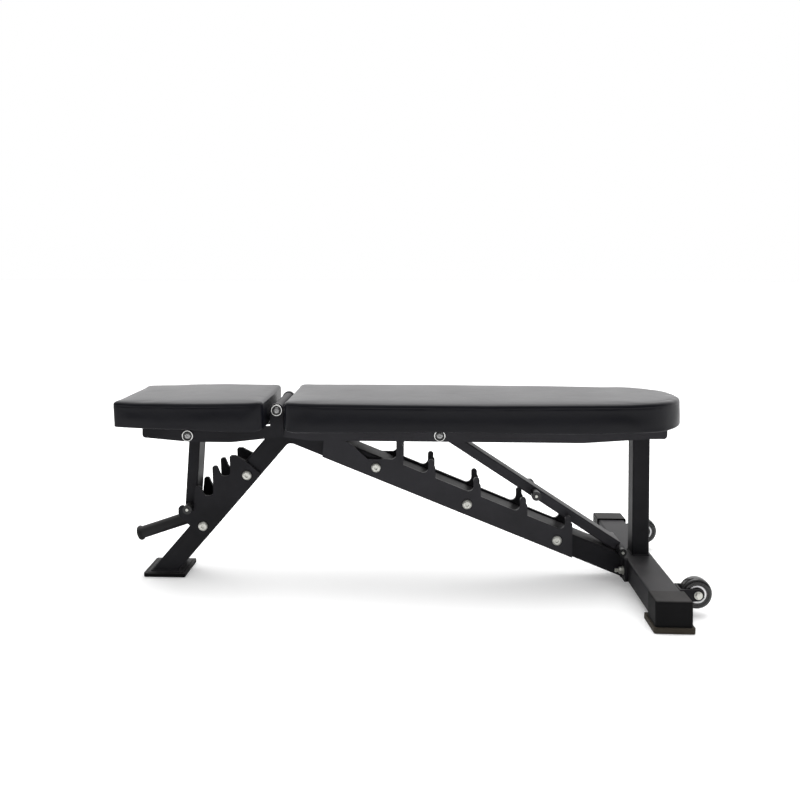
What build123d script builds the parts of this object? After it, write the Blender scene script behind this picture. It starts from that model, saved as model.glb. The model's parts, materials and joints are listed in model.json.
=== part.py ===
from build123d import *
import os
from math import atan2, cos, degrees, hypot, radians, sin, tan

# Adjustable weight bench, in millimetres.
# +X points from the seat to the transport wheels, +Z is up, and the bench is
# symmetric about the XZ plane. The origin is on the floor, under the middle.

# ---- overall ----
pad_top = 440
pad_bottom = 380
hinge_x = -292.5
hinge_z = 416

# ---- main frame tubes ----
tube_width = 76
tube_height = 50
tube_wall = 3
tube_corner = 5
spine_slope = 21.5
leg_slope = 49.3
apex_x = -280.1
apex_z = 357.4
apex_cut_z = 376
saddle_top_z = 379
leg_foot_z = 10

# ---- base, post and feet ----
base_x = 564
base_width = 69
base_height = 50
base_z = 12
base_half_length = 296
post_x = 570
post_side = 40
post_width = 46
post_wall = 2.5
post_top_z = 350
post_cap_height = 5.7
shoe_wall = 4
shoe_length = 55
sole_length = 74
sole_lip = 4
foot_x = -575
foot_side = 102
foot_recess = 88

# ---- hinge ----
shaft_radius = 8
running_gap = 0.05
hinge_tube_radius = 13.5
ear_radius = 15.5
inner_ear_y = 83
outer_ear_y = 88.5
plate_thickness = 5
ring_radius = 13.3
ring_length = 4
ring_bore = 9.6

# ---- ladder plates ----
ladder_thickness = 8
ladder_y = tube_width / 2
ladder_outer_y = ladder_y + ladder_thickness
ladder_slope = 21.8
ladder_edge_z = 279.6
prong_width = 14
prong_step = 3
prong_centres = [-6.7, 69.8, 177.5, 287.8, 393.7]
prong_tips = [342, 291.8, 250, 204.2, 161]
top_notch_floor = 291.4
spine_bolts_x = [-62, 155, 367]
leg_bolts_z = [249, 124]
bolt_radius = 6
bolt_head_radius = 11.5
bolt_head_height = 5.5

# ---- seat ----
seat_front_x = -671
seat_end_x = -318
seat_prop_x = -503.5
seat_prop_z = 354
seat_catch_x = -515.7
seat_catch_z = 167.5
seat_bars_x = [-580, -372]

# ---- backrest ----
back_start_x = -268.5
back_round_x = 531
back_end_x = 661
back_prop_x = 88.5
back_prop_z = 358.7
back_catch_x = 518.5
back_catch_z = 80.6
mid_catch_share = 0.53
back_bars_x = [-170, 190, 440]

# ---- props ----
prop_depth = 24
prop_width = 50
prop_wall = 2
prop_sleeve_radius = 12.5
seat_prop_depth = 27
seat_prop_width = 60
seat_sleeve_radius = 14
catch_half_length = 50
catch_cap_length = 11
catch_cap_radius = 11

# ---- pads ----
pad_edge = 16
pad_lower_edge = 8
board_inset = 20
board_thickness = 12
board_gap = 0.2
crossbar_width = 40
crossbar_thickness = 5
pad_bolt_y = 55

# ---- wheels ----
wheel_x = 637.5
wheel_y = 205
wheel_z = 48.5
wheel_radius = 33.5
wheel_width = 26
hub_radius = 19.5
hub_width = 24
bearing_radius = 11
bearing_width = 7
axle_radius = 4
bracket_thickness = 4
bracket_gap = 1.5
bracket_end_radius = 12

os.makedirs("parts", exist_ok=True)

# ---- lines that the outlines share ----
spine_tan = tan(radians(spine_slope))
leg_tan = tan(radians(leg_slope))
half_spine_drop = tube_height / 2 / cos(radians(spine_slope))
half_leg_run = tube_height / 2 / sin(radians(leg_slope))
flange_thickness = 8
flange_x = base_x - base_width / 2 - flange_thickness
base_top_z = base_z + base_height
rest_z = post_top_z + post_cap_height + 0.3
plate_top_z = pad_bottom - crossbar_thickness


def spine_mid(x):
    """Height of the spine tube's centre line at x."""
    return apex_z - (x - apex_x) * spine_tan


def spine_top(x):
    return spine_mid(x) + half_spine_drop


def spine_bottom(x):
    return spine_mid(x) - half_spine_drop


def leg_mid(z):
    """X of the front leg's centre line at height z."""
    return apex_x - (apex_z - z) / leg_tan


# ---- helpers that draw in the sketch or part that is open ----
def outline(points):
    """Fill a closed outline of (x, z, corner radius) points."""
    with BuildLine() as border:
        FilletPolyline([(x, z) for x, z, r in points], radius=[r for x, z, r in points], close=True)
    make_face(border.edges())


def tube_section(width, height, wall, corner):
    """A square tube's section, with rounded corners."""
    RectangleRounded(width, height, corner)
    RectangleRounded(width - 2 * wall, height - 2 * wall, corner - wall + 0.5, mode=Mode.SUBTRACT)


def cross_rod(x, z, radius, half_length, mode=Mode.ADD):
    """A round bar along Y, centred on the bench's middle plane."""
    with BuildSketch(Plane.XZ) as section:
        with Locations((x, z)):
            Circle(radius)
    extrude(section.sketch, amount=half_length, both=True, mode=mode)


def side_disc(x, z, radius, y_from, y_to, mode=Mode.ADD):
    """A round disc on the near side, between two distances from the middle."""
    with BuildSketch(Plane.XZ.offset(y_from)) as section:
        with Locations((x, z)):
            Circle(radius)
    extrude(section.sketch, amount=y_to - y_from, mode=mode)


def place_axis(x, z, slope):
    """A plane at (x, 0, z) whose normal points down the slope, in the XZ plane."""
    direction = (cos(radians(slope)), 0, -sin(radians(slope)))
    return Plane(origin=(x, 0, z), x_dir=(0, 1, 0), z_dir=direction)


# ---- front leg and spine: box tubes mitred at the apex ----
mitre_angle = (spine_slope - leg_slope) / 2
mitre = Plane(
    origin=(apex_x, 0, apex_z),
    x_dir=(0, 1, 0),
    z_dir=(cos(radians(mitre_angle)), 0, -sin(radians(mitre_angle))),
)
tube_run = 960
leg_run = 560

with BuildPart() as spine_tube:
    with BuildSketch(place_axis(apex_x, apex_z, spine_slope).offset(-60)):
        tube_section(tube_width, tube_height, tube_wall, tube_corner)
    extrude(amount=tube_run)
    split(bisect_by=mitre, keep=Keep.TOP)
    split(bisect_by=Plane.YZ.offset(flange_x), keep=Keep.BOTTOM)
    split(bisect_by=Plane.XY.offset(apex_cut_z), keep=Keep.BOTTOM)
    for bolt_x in spine_bolts_x:
        cross_rod(bolt_x, spine_mid(bolt_x), bolt_radius + 0.1, tube_width, mode=Mode.SUBTRACT)
spine_tube.part.label = "spine_tube"
export_step(spine_tube.part, "parts/spine_tube.step")

with BuildPart() as front_leg_tube:
    with BuildSketch(place_axis(apex_x, apex_z, 180 - leg_slope).offset(-60)):
        tube_section(tube_width, tube_height, tube_wall, tube_corner)
    extrude(amount=leg_run)
    split(bisect_by=mitre, keep=Keep.BOTTOM)
    split(bisect_by=Plane.XY.offset(leg_foot_z), keep=Keep.TOP)
    split(bisect_by=Plane.XY.offset(apex_cut_z), keep=Keep.BOTTOM)
    for bolt_z in leg_bolts_z:
        cross_rod(leg_mid(bolt_z), bolt_z, bolt_radius + 0.1, tube_width, mode=Mode.SUBTRACT)
front_leg_tube.part.label = "front_leg_tube"
export_step(front_leg_tube.part, "parts/front_leg_tube.step")

# ---- hinge bracket: a saddle over the cut apex and two cheeks up to the hinge tube ----
saddle_front = leg_mid(apex_cut_z) - half_leg_run
saddle_rear = apex_x + (apex_z + half_spine_drop - apex_cut_z) / spine_tan
cheek_thickness = 6
with BuildPart() as hinge_bracket:
    with BuildSketch(Plane.XY.offset(apex_cut_z)):
        with Locations(((saddle_front + saddle_rear) / 2, 0)):
            Rectangle(saddle_rear - saddle_front, tube_width)
    extrude(amount=saddle_top_z - apex_cut_z)
    with BuildSketch(Plane.XZ.offset(tube_width / 2 - cheek_thickness)):
        outline([
            (hinge_x - 13, saddle_top_z, 0), (hinge_x + 21, saddle_top_z, 0),
            (hinge_x + 12, hinge_z, 0), (hinge_x - 12, hinge_z, 0),
        ])
        with Locations((hinge_x, hinge_z)):
            Circle(hinge_tube_radius, mode=Mode.SUBTRACT)
    extrude(amount=cheek_thickness)
    mirror(about=Plane.XZ)
hinge_bracket.part.label = "hinge_bracket"
export_step(hinge_bracket.part, "parts/hinge_bracket.step")

with BuildPart() as hinge_tube:
    cross_rod(hinge_x, hinge_z, hinge_tube_radius, inner_ear_y - 0.5)
    cross_rod(hinge_x, hinge_z, shaft_radius + running_gap, inner_ear_y, mode=Mode.SUBTRACT)
hinge_tube.part.label = "hinge_tube"
export_step(hinge_tube.part, "parts/hinge_tube.step")


def pivot_shaft(x, z, half_length):
    """A pivot shaft with a button screw head at each end."""
    cross_rod(x, z, shaft_radius, half_length)
    side_disc(x, z, shaft_radius - 1, half_length, half_length + 1.5)
    side_disc(x, z, 3, half_length + 0.5, half_length + 1.5, mode=Mode.SUBTRACT)
    side_disc(x, z, shaft_radius - 1, -half_length, -half_length - 1.5)
    side_disc(x, z, 3, -half_length - 0.5, -half_length - 1.5, mode=Mode.SUBTRACT)


def pivot_rings(x, z, y_from):
    """A steel ring on the outside of each plate, around the shaft's end."""
    side_disc(x, z, ring_radius, y_from, y_from + ring_length)
    side_disc(x, z, ring_bore, y_from + 1, y_from + ring_length, mode=Mode.SUBTRACT)
    side_disc(x, z, shaft_radius + running_gap, y_from, y_from + 1, mode=Mode.SUBTRACT)
    mirror(about=Plane.XZ)


outer_face_y = outer_ear_y + plate_thickness
inner_face_y = inner_ear_y + plate_thickness
shaft_end = 1.4

with BuildPart() as hinge_shaft:
    pivot_shaft(hinge_x, hinge_z, outer_face_y + shaft_end)
hinge_shaft.part.label = "hinge_shaft"
export_step(hinge_shaft.part, "parts/hinge_shaft.step")

with BuildPart() as hinge_rings:
    pivot_rings(hinge_x, hinge_z, outer_face_y + 0.1)
hinge_rings.part.label = "hinge_rings"
export_step(hinge_rings.part, "parts/hinge_rings.step")


# ---- back ladder: a plate on each side of the spine, with five upright prongs ----
def ladder_edge(x):
    """Height of the back ladder's upper edge between its prongs."""
    return ladder_edge_z - x * tan(radians(ladder_slope))


def back_ladder_outline():
    """Points round the back ladder plate, from its lower front corner."""
    points = [
        (-191, spine_bottom(-191), 2), (-186, ladder_edge(-186), 4),
        (-126, ladder_edge(-126), 6), (-82, top_notch_floor, 9),
    ]
    for centre, tip in zip(prong_centres, prong_tips):
        left = centre - prong_width / 2
        right = centre + prong_width / 2
        foot = max(ladder_edge(left), top_notch_floor) if centre < 0 else ladder_edge(left)
        points += [(left, foot, 12), (left, tip, 6.9), (right, tip, 6.9)]
        points += [(right, tip - 15, 1.5), (right + prong_step, tip - 19, 1.5)]
        if centre != prong_centres[-1]:
            points.append((right + prong_step, ladder_edge(right + prong_step), 2))
    points.append((right + prong_step, spine_bottom(right + prong_step), 2))
    return points


with BuildPart() as back_ladder_near:
    with BuildSketch(Plane.XZ.offset(ladder_y)):
        outline(back_ladder_outline())
        with Locations([(bolt_x, spine_mid(bolt_x)) for bolt_x in spine_bolts_x]):
            Circle(bolt_radius + 0.1, mode=Mode.SUBTRACT)
    extrude(amount=ladder_thickness)
back_ladder_near.part.label = "back_ladder_near"
export_step(back_ladder_near.part, "parts/back_ladder_near.step")

with BuildPart() as back_ladder_far:
    mirror(back_ladder_near.part, about=Plane.XZ)
back_ladder_far.part.label = "back_ladder_far"
export_step(back_ladder_far.part, "parts/back_ladder_far.step")

# ---- seat ladder: a plate on each side of the leg, with slots that lean forward ----
leg_along_x = cos(radians(leg_slope))
leg_along_z = sin(radians(leg_slope))


def on_leg(along, across):
    """A point measured along the leg from its upper bolt, and across to the rear."""
    x = leg_mid(leg_bolts_z[0]) + along * leg_along_x + across * leg_along_z
    z = leg_bolts_z[0] + along * leg_along_z - across * leg_along_x
    return x, z


ladder_low = -(leg_bolts_z[0] - leg_bolts_z[1]) / leg_along_z - 21
low_rear = on_leg(ladder_low, tube_height / 2)
top_rear = on_leg(24, tube_height / 2)
top_front = on_leg(24, -tube_height / 2)
low_front = on_leg(ladder_low, -tube_height / 2)
notch_radius = 10.6
seat_ladder_points = [
    (low_rear[0], low_rear[1], 2), (top_rear[0], top_rear[1], 2), (top_front[0], top_front[1], 8),
    (-402, 296.5, 6), (-415.8, 296.5, 5), (-413.4, 245.7, 10.8), (-436, 245.7, 10.8),
    (-446.5, 270.5, 4.5), (-457.8, 270.5, 5), (-455, 197.4, 10.8), (-477.3, 197.4, 10.8),
    (-487.8, 221, 4.5), (-499.2, 221, 5),
    (seat_catch_x + notch_radius, seat_catch_z - notch_radius, notch_radius - 0.2),
    (seat_catch_x - notch_radius, seat_catch_z - notch_radius, notch_radius - 0.2),
    (seat_catch_x - notch_radius, 172.5, 6), (seat_catch_x - notch_radius - 15, 172.5, 8),
    (seat_catch_x - notch_radius - 15, 150, 12), (low_front[0], low_front[1], 0.5),
]

with BuildPart() as seat_ladder_near:
    with BuildSketch(Plane.XZ.offset(ladder_y)):
        outline(seat_ladder_points)
        with Locations([(leg_mid(bolt_z), bolt_z) for bolt_z in leg_bolts_z]):
            Circle(bolt_radius + 0.1, mode=Mode.SUBTRACT)
    extrude(amount=ladder_thickness)
seat_ladder_near.part.label = "seat_ladder_near"
export_step(seat_ladder_near.part, "parts/seat_ladder_near.step")

with BuildPart() as seat_ladder_far:
    mirror(seat_ladder_near.part, about=Plane.XZ)
seat_ladder_far.part.label = "seat_ladder_far"
export_step(seat_ladder_far.part, "parts/seat_ladder_far.step")

# ---- through bolts that clamp the ladder plates to the tubes ----
ladder_bolt_spots = [(bolt_x, spine_mid(bolt_x)) for bolt_x in spine_bolts_x]
ladder_bolt_spots += [(leg_mid(bolt_z), bolt_z) for bolt_z in leg_bolts_z]
nut_length = 10
stud_length = 5

with BuildPart() as ladder_bolts:
    for x, z in ladder_bolt_spots:
        cross_rod(x, z, bolt_radius, ladder_outer_y)
        side_disc(x, z, bolt_head_radius, ladder_outer_y, ladder_outer_y + bolt_head_height)
        side_disc(x, z, bolt_radius, -ladder_outer_y, -ladder_outer_y - stud_length)
    head_rims = ladder_bolts.edges().filter_by(GeomType.CIRCLE).group_by(Axis.Y)[0]
    fillet(head_rims, radius=4)
ladder_bolts.part.label = "ladder_bolts"
export_step(ladder_bolts.part, "parts/ladder_bolts.step")

with BuildPart() as ladder_nuts:
    for x, z in ladder_bolt_spots:
        side_disc(x, z, bolt_head_radius, -ladder_outer_y, -ladder_outer_y - nut_length)
        side_disc(x, z, bolt_radius, -ladder_outer_y, -ladder_outer_y - stud_length, mode=Mode.SUBTRACT)
    nut_rims = ladder_nuts.edges().filter_by(GeomType.CIRCLE).group_by(Axis.Y)[-1]
    fillet(nut_rims, radius=4)
ladder_nuts.part.label = "ladder_nuts"
export_step(ladder_nuts.part, "parts/ladder_nuts.step")

# ---- rear base: flange, beam, bolts and rubber shoes ----
flange_half_width = 68
flange_bottom_z = 13
flange_top_z = 69
flange_bolt_y = 53
flange_bolt_z = 37
flange_bolt_radius = 5
flange_stud_length = 20

with BuildPart() as spine_flange:
    with BuildSketch(Plane.YZ.offset(flange_x)):
        with Locations((0, (flange_bottom_z + flange_top_z) / 2)):
            RectangleRounded(2 * flange_half_width, flange_top_z - flange_bottom_z, 6)
        with Locations((-flange_bolt_y, flange_bolt_z), (flange_bolt_y, flange_bolt_z)):
            Circle(flange_bolt_radius + 0.1, mode=Mode.SUBTRACT)
    extrude(amount=flange_thickness)
spine_flange.part.label = "spine_flange"
export_step(spine_flange.part, "parts/spine_flange.step")

with BuildPart() as base_beam:
    with BuildSketch(Plane.XZ):
        with Locations((base_x, base_z + base_height / 2)):
            tube_section(base_width, base_height, tube_wall, tube_corner)
    extrude(amount=base_half_length - 0.3, both=True)
    with BuildSketch(Plane.YZ.offset(base_x - base_width)):
        with Locations((-flange_bolt_y, flange_bolt_z), (flange_bolt_y, flange_bolt_z)):
            Circle(flange_bolt_radius + 0.1)
    extrude(amount=2 * base_width, mode=Mode.SUBTRACT)
base_beam.part.label = "base_beam"
export_step(base_beam.part, "parts/base_beam.step")

beam_rear_x = base_x + base_width / 2
flange_nut_length = 8
flange_washer_length = 2.5

with BuildPart() as flange_bolts:
    with BuildSketch(Plane.YZ.offset(flange_x - flange_stud_length)):
        with Locations((-flange_bolt_y, flange_bolt_z), (flange_bolt_y, flange_bolt_z)):
            Circle(flange_bolt_radius)
    extrude(amount=beam_rear_x - flange_x + flange_stud_length)
    with BuildSketch(Plane.YZ.offset(beam_rear_x)):
        with Locations((-flange_bolt_y, flange_bolt_z), (flange_bolt_y, flange_bolt_z)):
            RegularPolygon(8.5, 6, major_radius=False)
    extrude(amount=7.5)
flange_bolts.part.label = "flange_bolts"
export_step(flange_bolts.part, "parts/flange_bolts.step")

with BuildPart() as flange_nuts:
    with BuildSketch(Plane.YZ.offset(flange_x - flange_washer_length)):
        with Locations((-flange_bolt_y, flange_bolt_z), (flange_bolt_y, flange_bolt_z)):
            Circle(10.5)
            Circle(flange_bolt_radius + 0.05, mode=Mode.SUBTRACT)
    extrude(amount=flange_washer_length)
    with BuildSketch(Plane.YZ.offset(flange_x - flange_washer_length - flange_nut_length)):
        with Locations((-flange_bolt_y, flange_bolt_z), (flange_bolt_y, flange_bolt_z)):
            RegularPolygon(8.5, 6, major_radius=False)
            Circle(flange_bolt_radius + 0.05, mode=Mode.SUBTRACT)
    extrude(amount=flange_nut_length)
flange_nuts.part.label = "flange_nuts"
export_step(flange_nuts.part, "parts/flange_nuts.step")

shoe_width = base_width + 2 * shoe_wall
shoe_end_y = base_half_length + shoe_wall
sole_overlap_z = 3
with BuildPart() as base_shoe_near:
    with BuildSketch(Plane.XZ.offset(shoe_end_y - shoe_length)):
        with Locations((base_x, (base_top_z + shoe_wall + sole_overlap_z) / 2)):
            RectangleRounded(shoe_width, base_top_z + shoe_wall - sole_overlap_z, 4)
    extrude(amount=shoe_length)
    rim = base_shoe_near.faces().sort_by(Axis.Y)[0].edges().filter_by(Axis.X).sort_by(Axis.Z)[-1:]
    fillet(rim, radius=5)
    with BuildSketch(Plane.XY):
        with Locations((base_x, -shoe_end_y + sole_length / 2 - sole_lip / 2)):
            RectangleRounded(shoe_width + 2 * sole_lip, sole_length + sole_lip, 5)
    extrude(amount=base_z - 0.1)
    sole_rim = base_shoe_near.edges().group_by(Axis.Z)[0]
    chamfer(sole_rim, length=1.2)
    with BuildSketch(Plane.XZ.offset(shoe_end_y - sole_length - 1)):
        with Locations((base_x, base_z + base_height / 2)):
            RectangleRounded(base_width + 0.4, base_height + 0.2, tube_corner)
    extrude(amount=sole_length + 1 - shoe_wall, mode=Mode.SUBTRACT)
base_shoe_near.part.label = "base_shoe_near"
export_step(base_shoe_near.part, "parts/base_shoe_near.step")

with BuildPart() as base_shoe_far:
    mirror(base_shoe_near.part, about=Plane.XZ)
base_shoe_far.part.label = "base_shoe_far"
export_step(base_shoe_far.part, "parts/base_shoe_far.step")

# ---- rear post that the flat backrest rests on ----
with BuildPart() as rear_post:
    with BuildSketch(Plane.XY.offset(base_top_z)):
        with Locations((post_x, 0)):
            tube_section(post_side, post_width, post_wall, 4)
    extrude(amount=post_top_z - base_top_z)
rear_post.part.label = "rear_post"
export_step(rear_post.part, "parts/rear_post.step")

with BuildPart() as post_rest_cap:
    with BuildSketch(Plane.XY.offset(post_top_z)):
        with Locations((post_x, 0)):
            RectangleRounded(post_side + 2, post_width + 2, 5)
    extrude(amount=post_cap_height)
    fillet(post_rest_cap.edges().group_by(Axis.Z)[-1], radius=2)
post_rest_cap.part.label = "post_rest_cap"
export_step(post_rest_cap.part, "parts/post_rest_cap.step")

# ---- front foot: a steel plate in a rubber tray ----
tray_height = 9
plate_seat_z = 4
with BuildPart() as front_foot_tray:
    with BuildSketch(Plane.XY):
        with Locations((foot_x, 0)):
            RectangleRounded(foot_side, foot_side + 4, 5)
    extrude(amount=tray_height)
    with BuildSketch(Plane.XY.offset(plate_seat_z)):
        with Locations((foot_x, 0)):
            RectangleRounded(foot_recess, foot_recess + 4, 3)
    extrude(amount=tray_height, mode=Mode.SUBTRACT)
    chamfer(front_foot_tray.edges().group_by(Axis.Z)[0], length=1.2)
front_foot_tray.part.label = "front_foot_tray"
export_step(front_foot_tray.part, "parts/front_foot_tray.step")

with BuildPart() as front_foot_plate:
    with BuildSketch(Plane.XY.offset(plate_seat_z)):
        with Locations((foot_x, 0)):
            RectangleRounded(foot_recess - 0.6, foot_recess + 3.4, 2.5)
    extrude(amount=leg_foot_z - plate_seat_z)
front_foot_plate.part.label = "front_foot_plate"
export_step(front_foot_plate.part, "parts/front_foot_plate.step")

# ---- carry handle on the front leg ----
handle_slope = 18.8
handle_radius = 11
handle_reach = 160
grip_start = 36
grip_radius = 15
handle_z = 141
handle_root_x = leg_mid(handle_z) - half_leg_run
handle_plane = place_axis(handle_root_x, handle_z, 180 - handle_slope)
leg_face = Plane(
    origin=(handle_root_x, 0, handle_z),
    x_dir=(0, 1, 0),
    z_dir=(-sin(radians(leg_slope)), 0, cos(radians(leg_slope))),
)

with BuildPart() as handle_tube:
    with BuildSketch(handle_plane.offset(-20)):
        Circle(handle_radius)
        Circle(handle_radius - 2, mode=Mode.SUBTRACT)
    extrude(amount=handle_reach + 20)
    split(bisect_by=leg_face, keep=Keep.TOP)
handle_tube.part.label = "handle_tube"
export_step(handle_tube.part, "parts/handle_tube.step")

with BuildPart() as handle_grip:
    with BuildSketch(handle_plane.offset(grip_start)):
        Circle(grip_radius)
        Circle(handle_radius + 0.02, mode=Mode.SUBTRACT)
    extrude(amount=handle_reach - grip_start)
    with BuildSketch(handle_plane.offset(handle_reach - 6)):
        Circle(grip_radius + 3)
        Circle(grip_radius - 1, mode=Mode.SUBTRACT)
    extrude(amount=6)
    with BuildSketch(handle_plane.offset(handle_reach)):
        Circle(grip_radius + 1)
    extrude(amount=4)
    fillet(handle_grip.edges().sort_by(Axis.X)[0], radius=3)
handle_grip.part.label = "handle_grip"
export_step(handle_grip.part, "parts/handle_grip.step")


# ---- pads and boards ----
def seat_outline():
    """Plan of the seat pad: widest near its middle, narrower at both ends."""
    half_front, half_mid, half_end = 125, 155, 135
    mid_x = -478
    with BuildLine() as border:
        Line((seat_front_x, -half_front), (seat_front_x, half_front))
        ThreePointArc((seat_front_x, half_front), (mid_x, half_mid), (seat_end_x, half_end))
        Line((seat_end_x, half_end), (seat_end_x, -half_end))
        ThreePointArc((seat_end_x, -half_end), (mid_x, -half_mid), (seat_front_x, -half_front))
    make_face(border.edges())
    front_corners = vertices().group_by(Axis.X)[0]
    end_corners = vertices().group_by(Axis.X)[-1]
    fillet(front_corners, radius=26)
    fillet(end_corners, radius=16)


def back_outline():
    """Plan of the backrest pad: gently bowed sides and a round head end."""
    half_start, half_mid, half_head = 141, 155, 133
    mid_x = 90
    with BuildLine() as border:
        Line((back_start_x, -half_start), (back_start_x, half_start))
        ThreePointArc((back_start_x, half_start), (mid_x, half_mid), (back_round_x, half_head))
        ThreePointArc((back_round_x, half_head), (back_end_x, 0), (back_round_x, -half_head))
        ThreePointArc((back_round_x, -half_head), (mid_x, -half_mid), (back_start_x, -half_start))
    make_face(border.edges())
    fillet(vertices().group_by(Axis.X)[0], radius=18)


def bolt_grid(bars_x):
    """Where the pad bolts go up through the crossbars."""
    return [(x, y) for x in bars_x for y in (-pad_bolt_y, pad_bolt_y)]


with BuildPart() as seat_pad:
    with BuildSketch(Plane.XY.offset(pad_bottom)):
        seat_outline()
    extrude(amount=pad_top - pad_bottom)
    fillet(seat_pad.edges().group_by(Axis.Z)[-1], radius=pad_edge)
    fillet(seat_pad.edges().group_by(Axis.Z)[0], radius=pad_lower_edge)
    with BuildSketch(Plane.XY.offset(pad_bottom)):
        seat_outline()
        offset(amount=-board_inset, mode=Mode.REPLACE)
    extrude(amount=board_thickness + board_gap, mode=Mode.SUBTRACT)
seat_pad.part.label = "seat_pad"
export_step(seat_pad.part, "parts/seat_pad.step")

with BuildPart() as seat_board:
    with BuildSketch(Plane.XY.offset(pad_bottom)):
        seat_outline()
        offset(amount=-board_inset - board_gap, mode=Mode.REPLACE)
        with Locations(bolt_grid(seat_bars_x)):
            Circle(4.1, mode=Mode.SUBTRACT)
    extrude(amount=board_thickness)
seat_board.part.label = "seat_board"
export_step(seat_board.part, "parts/seat_board.step")

with BuildPart() as backrest_pad:
    with BuildSketch(Plane.XY.offset(pad_bottom)):
        back_outline()
    extrude(amount=pad_top - pad_bottom)
    fillet(backrest_pad.edges().group_by(Axis.Z)[-1], radius=pad_edge)
    fillet(backrest_pad.edges().group_by(Axis.Z)[0], radius=pad_lower_edge)
    with BuildSketch(Plane.XY.offset(pad_bottom)):
        back_outline()
        offset(amount=-board_inset, mode=Mode.REPLACE)
    extrude(amount=board_thickness + board_gap, mode=Mode.SUBTRACT)
backrest_pad.part.label = "backrest_pad"
export_step(backrest_pad.part, "parts/backrest_pad.step")

with BuildPart() as backrest_board:
    with BuildSketch(Plane.XY.offset(pad_bottom)):
        back_outline()
        offset(amount=-board_inset - board_gap, mode=Mode.REPLACE)
        with Locations(bolt_grid(back_bars_x)):
            Circle(4.1, mode=Mode.SUBTRACT)
    extrude(amount=board_thickness)
backrest_board.part.label = "backrest_board"
export_step(backrest_board.part, "parts/backrest_board.step")


def pad_bolts(bars_x):
    """Bolts with washers that pull a board down on its crossbars."""
    with BuildSketch(Plane.XY.offset(plate_top_z - 1.5)) as washers:
        with Locations(bolt_grid(bars_x)):
            Circle(9)
    extrude(washers.sketch, amount=1.5)
    with BuildSketch(Plane.XY.offset(plate_top_z - 6.5)) as heads:
        with Locations(bolt_grid(bars_x)):
            RegularPolygon(6.5, 6, major_radius=False)
    extrude(heads.sketch, amount=5)
    with BuildSketch(Plane.XY.offset(plate_top_z - 6.5)) as shanks:
        with Locations(bolt_grid(bars_x)):
            Circle(4)
    extrude(shanks.sketch, amount=6.5 + crossbar_thickness + board_thickness - 1)


with BuildPart() as seat_pad_bolts:
    pad_bolts(seat_bars_x)
seat_pad_bolts.part.label = "seat_pad_bolts"
export_step(seat_pad_bolts.part, "parts/seat_pad_bolts.step")

with BuildPart() as backrest_pad_bolts:
    pad_bolts(back_bars_x)
backrest_pad_bolts.part.label = "backrest_pad_bolts"
export_step(backrest_pad_bolts.part, "parts/backrest_pad_bolts.step")


def flat_crossbars(bars_x, half_length):
    """Flat bars across the side plates, drilled for the pad bolts."""
    with BuildSketch(Plane.XY.offset(plate_top_z)) as bars:
        with Locations([(x, 0) for x in bars_x]):
            Rectangle(crossbar_width, 2 * half_length)
        with Locations(bolt_grid(bars_x)):
            Circle(4.1, mode=Mode.SUBTRACT)
    extrude(bars.sketch, amount=crossbar_thickness)


# ---- seat frame ----
ear_front_x = hinge_x - ear_radius
ear_rear_x = hinge_x + ear_radius
seat_plate_bottom = 339

with BuildPart() as seat_plates:
    with BuildSketch(Plane.XZ.offset(outer_ear_y)):
        outline([
            (-612, pad_bottom, 0), (-612, 348.5, 8), (-499, seat_plate_bottom, 60),
            (-399, seat_plate_bottom, 60), (ear_rear_x, 353.5, 3), (ear_rear_x, hinge_z, 0),
            (ear_front_x, hinge_z, 0), (ear_front_x, pad_bottom - 2, 4), (-330, pad_bottom - 2, 0),
            (-333, pad_bottom, 0),
        ])
        with Locations((hinge_x, hinge_z)):
            Circle(ear_radius)
            Circle(shaft_radius + running_gap, mode=Mode.SUBTRACT)
        with Locations((seat_prop_x, seat_prop_z)):
            Circle(shaft_radius + running_gap, mode=Mode.SUBTRACT)
    extrude(amount=plate_thickness)
    mirror(about=Plane.XZ)
seat_plates.part.label = "seat_plates"
export_step(seat_plates.part, "parts/seat_plates.step")

with BuildPart() as seat_crossbars:
    flat_crossbars(seat_bars_x, outer_ear_y)
seat_crossbars.part.label = "seat_crossbars"
export_step(seat_crossbars.part, "parts/seat_crossbars.step")

with BuildPart() as seat_prop_shaft:
    pivot_shaft(seat_prop_x, seat_prop_z, outer_face_y + shaft_end)
seat_prop_shaft.part.label = "seat_prop_shaft"
export_step(seat_prop_shaft.part, "parts/seat_prop_shaft.step")

with BuildPart() as seat_prop_rings:
    pivot_rings(seat_prop_x, seat_prop_z, outer_face_y)
seat_prop_rings.part.label = "seat_prop_rings"
export_step(seat_prop_rings.part, "parts/seat_prop_rings.step")

# ---- backrest frame ----
back_plate_bottom = 344
back_plate_end_x = 610.5

with BuildPart() as backrest_plates:
    with BuildSketch(Plane.XZ.offset(inner_ear_y)):
        outline([
            (ear_front_x, 356, 6), (ear_front_x + 30, 351.5, 20), (-215, back_plate_bottom, 60),
            (420, back_plate_bottom, 120), (569, 355, 60), (back_plate_end_x, 355.5, 9),
            (back_plate_end_x, pad_bottom, 0), (-265, pad_bottom, 0),
            (ear_rear_x, pad_bottom + 6, 3), (ear_rear_x, hinge_z, 0), (ear_front_x, hinge_z, 0),
        ])
        with Locations((hinge_x, hinge_z)):
            Circle(ear_radius)
            Circle(shaft_radius + running_gap, mode=Mode.SUBTRACT)
        with Locations((back_prop_x, back_prop_z)):
            Circle(shaft_radius + running_gap, mode=Mode.SUBTRACT)
    extrude(amount=plate_thickness)
    mirror(about=Plane.XZ)
backrest_plates.part.label = "backrest_plates"
export_step(backrest_plates.part, "parts/backrest_plates.step")

with BuildPart() as backrest_crossbars:
    flat_crossbars(back_bars_x, inner_ear_y)
backrest_crossbars.part.label = "backrest_crossbars"
export_step(backrest_crossbars.part, "parts/backrest_crossbars.step")

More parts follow.
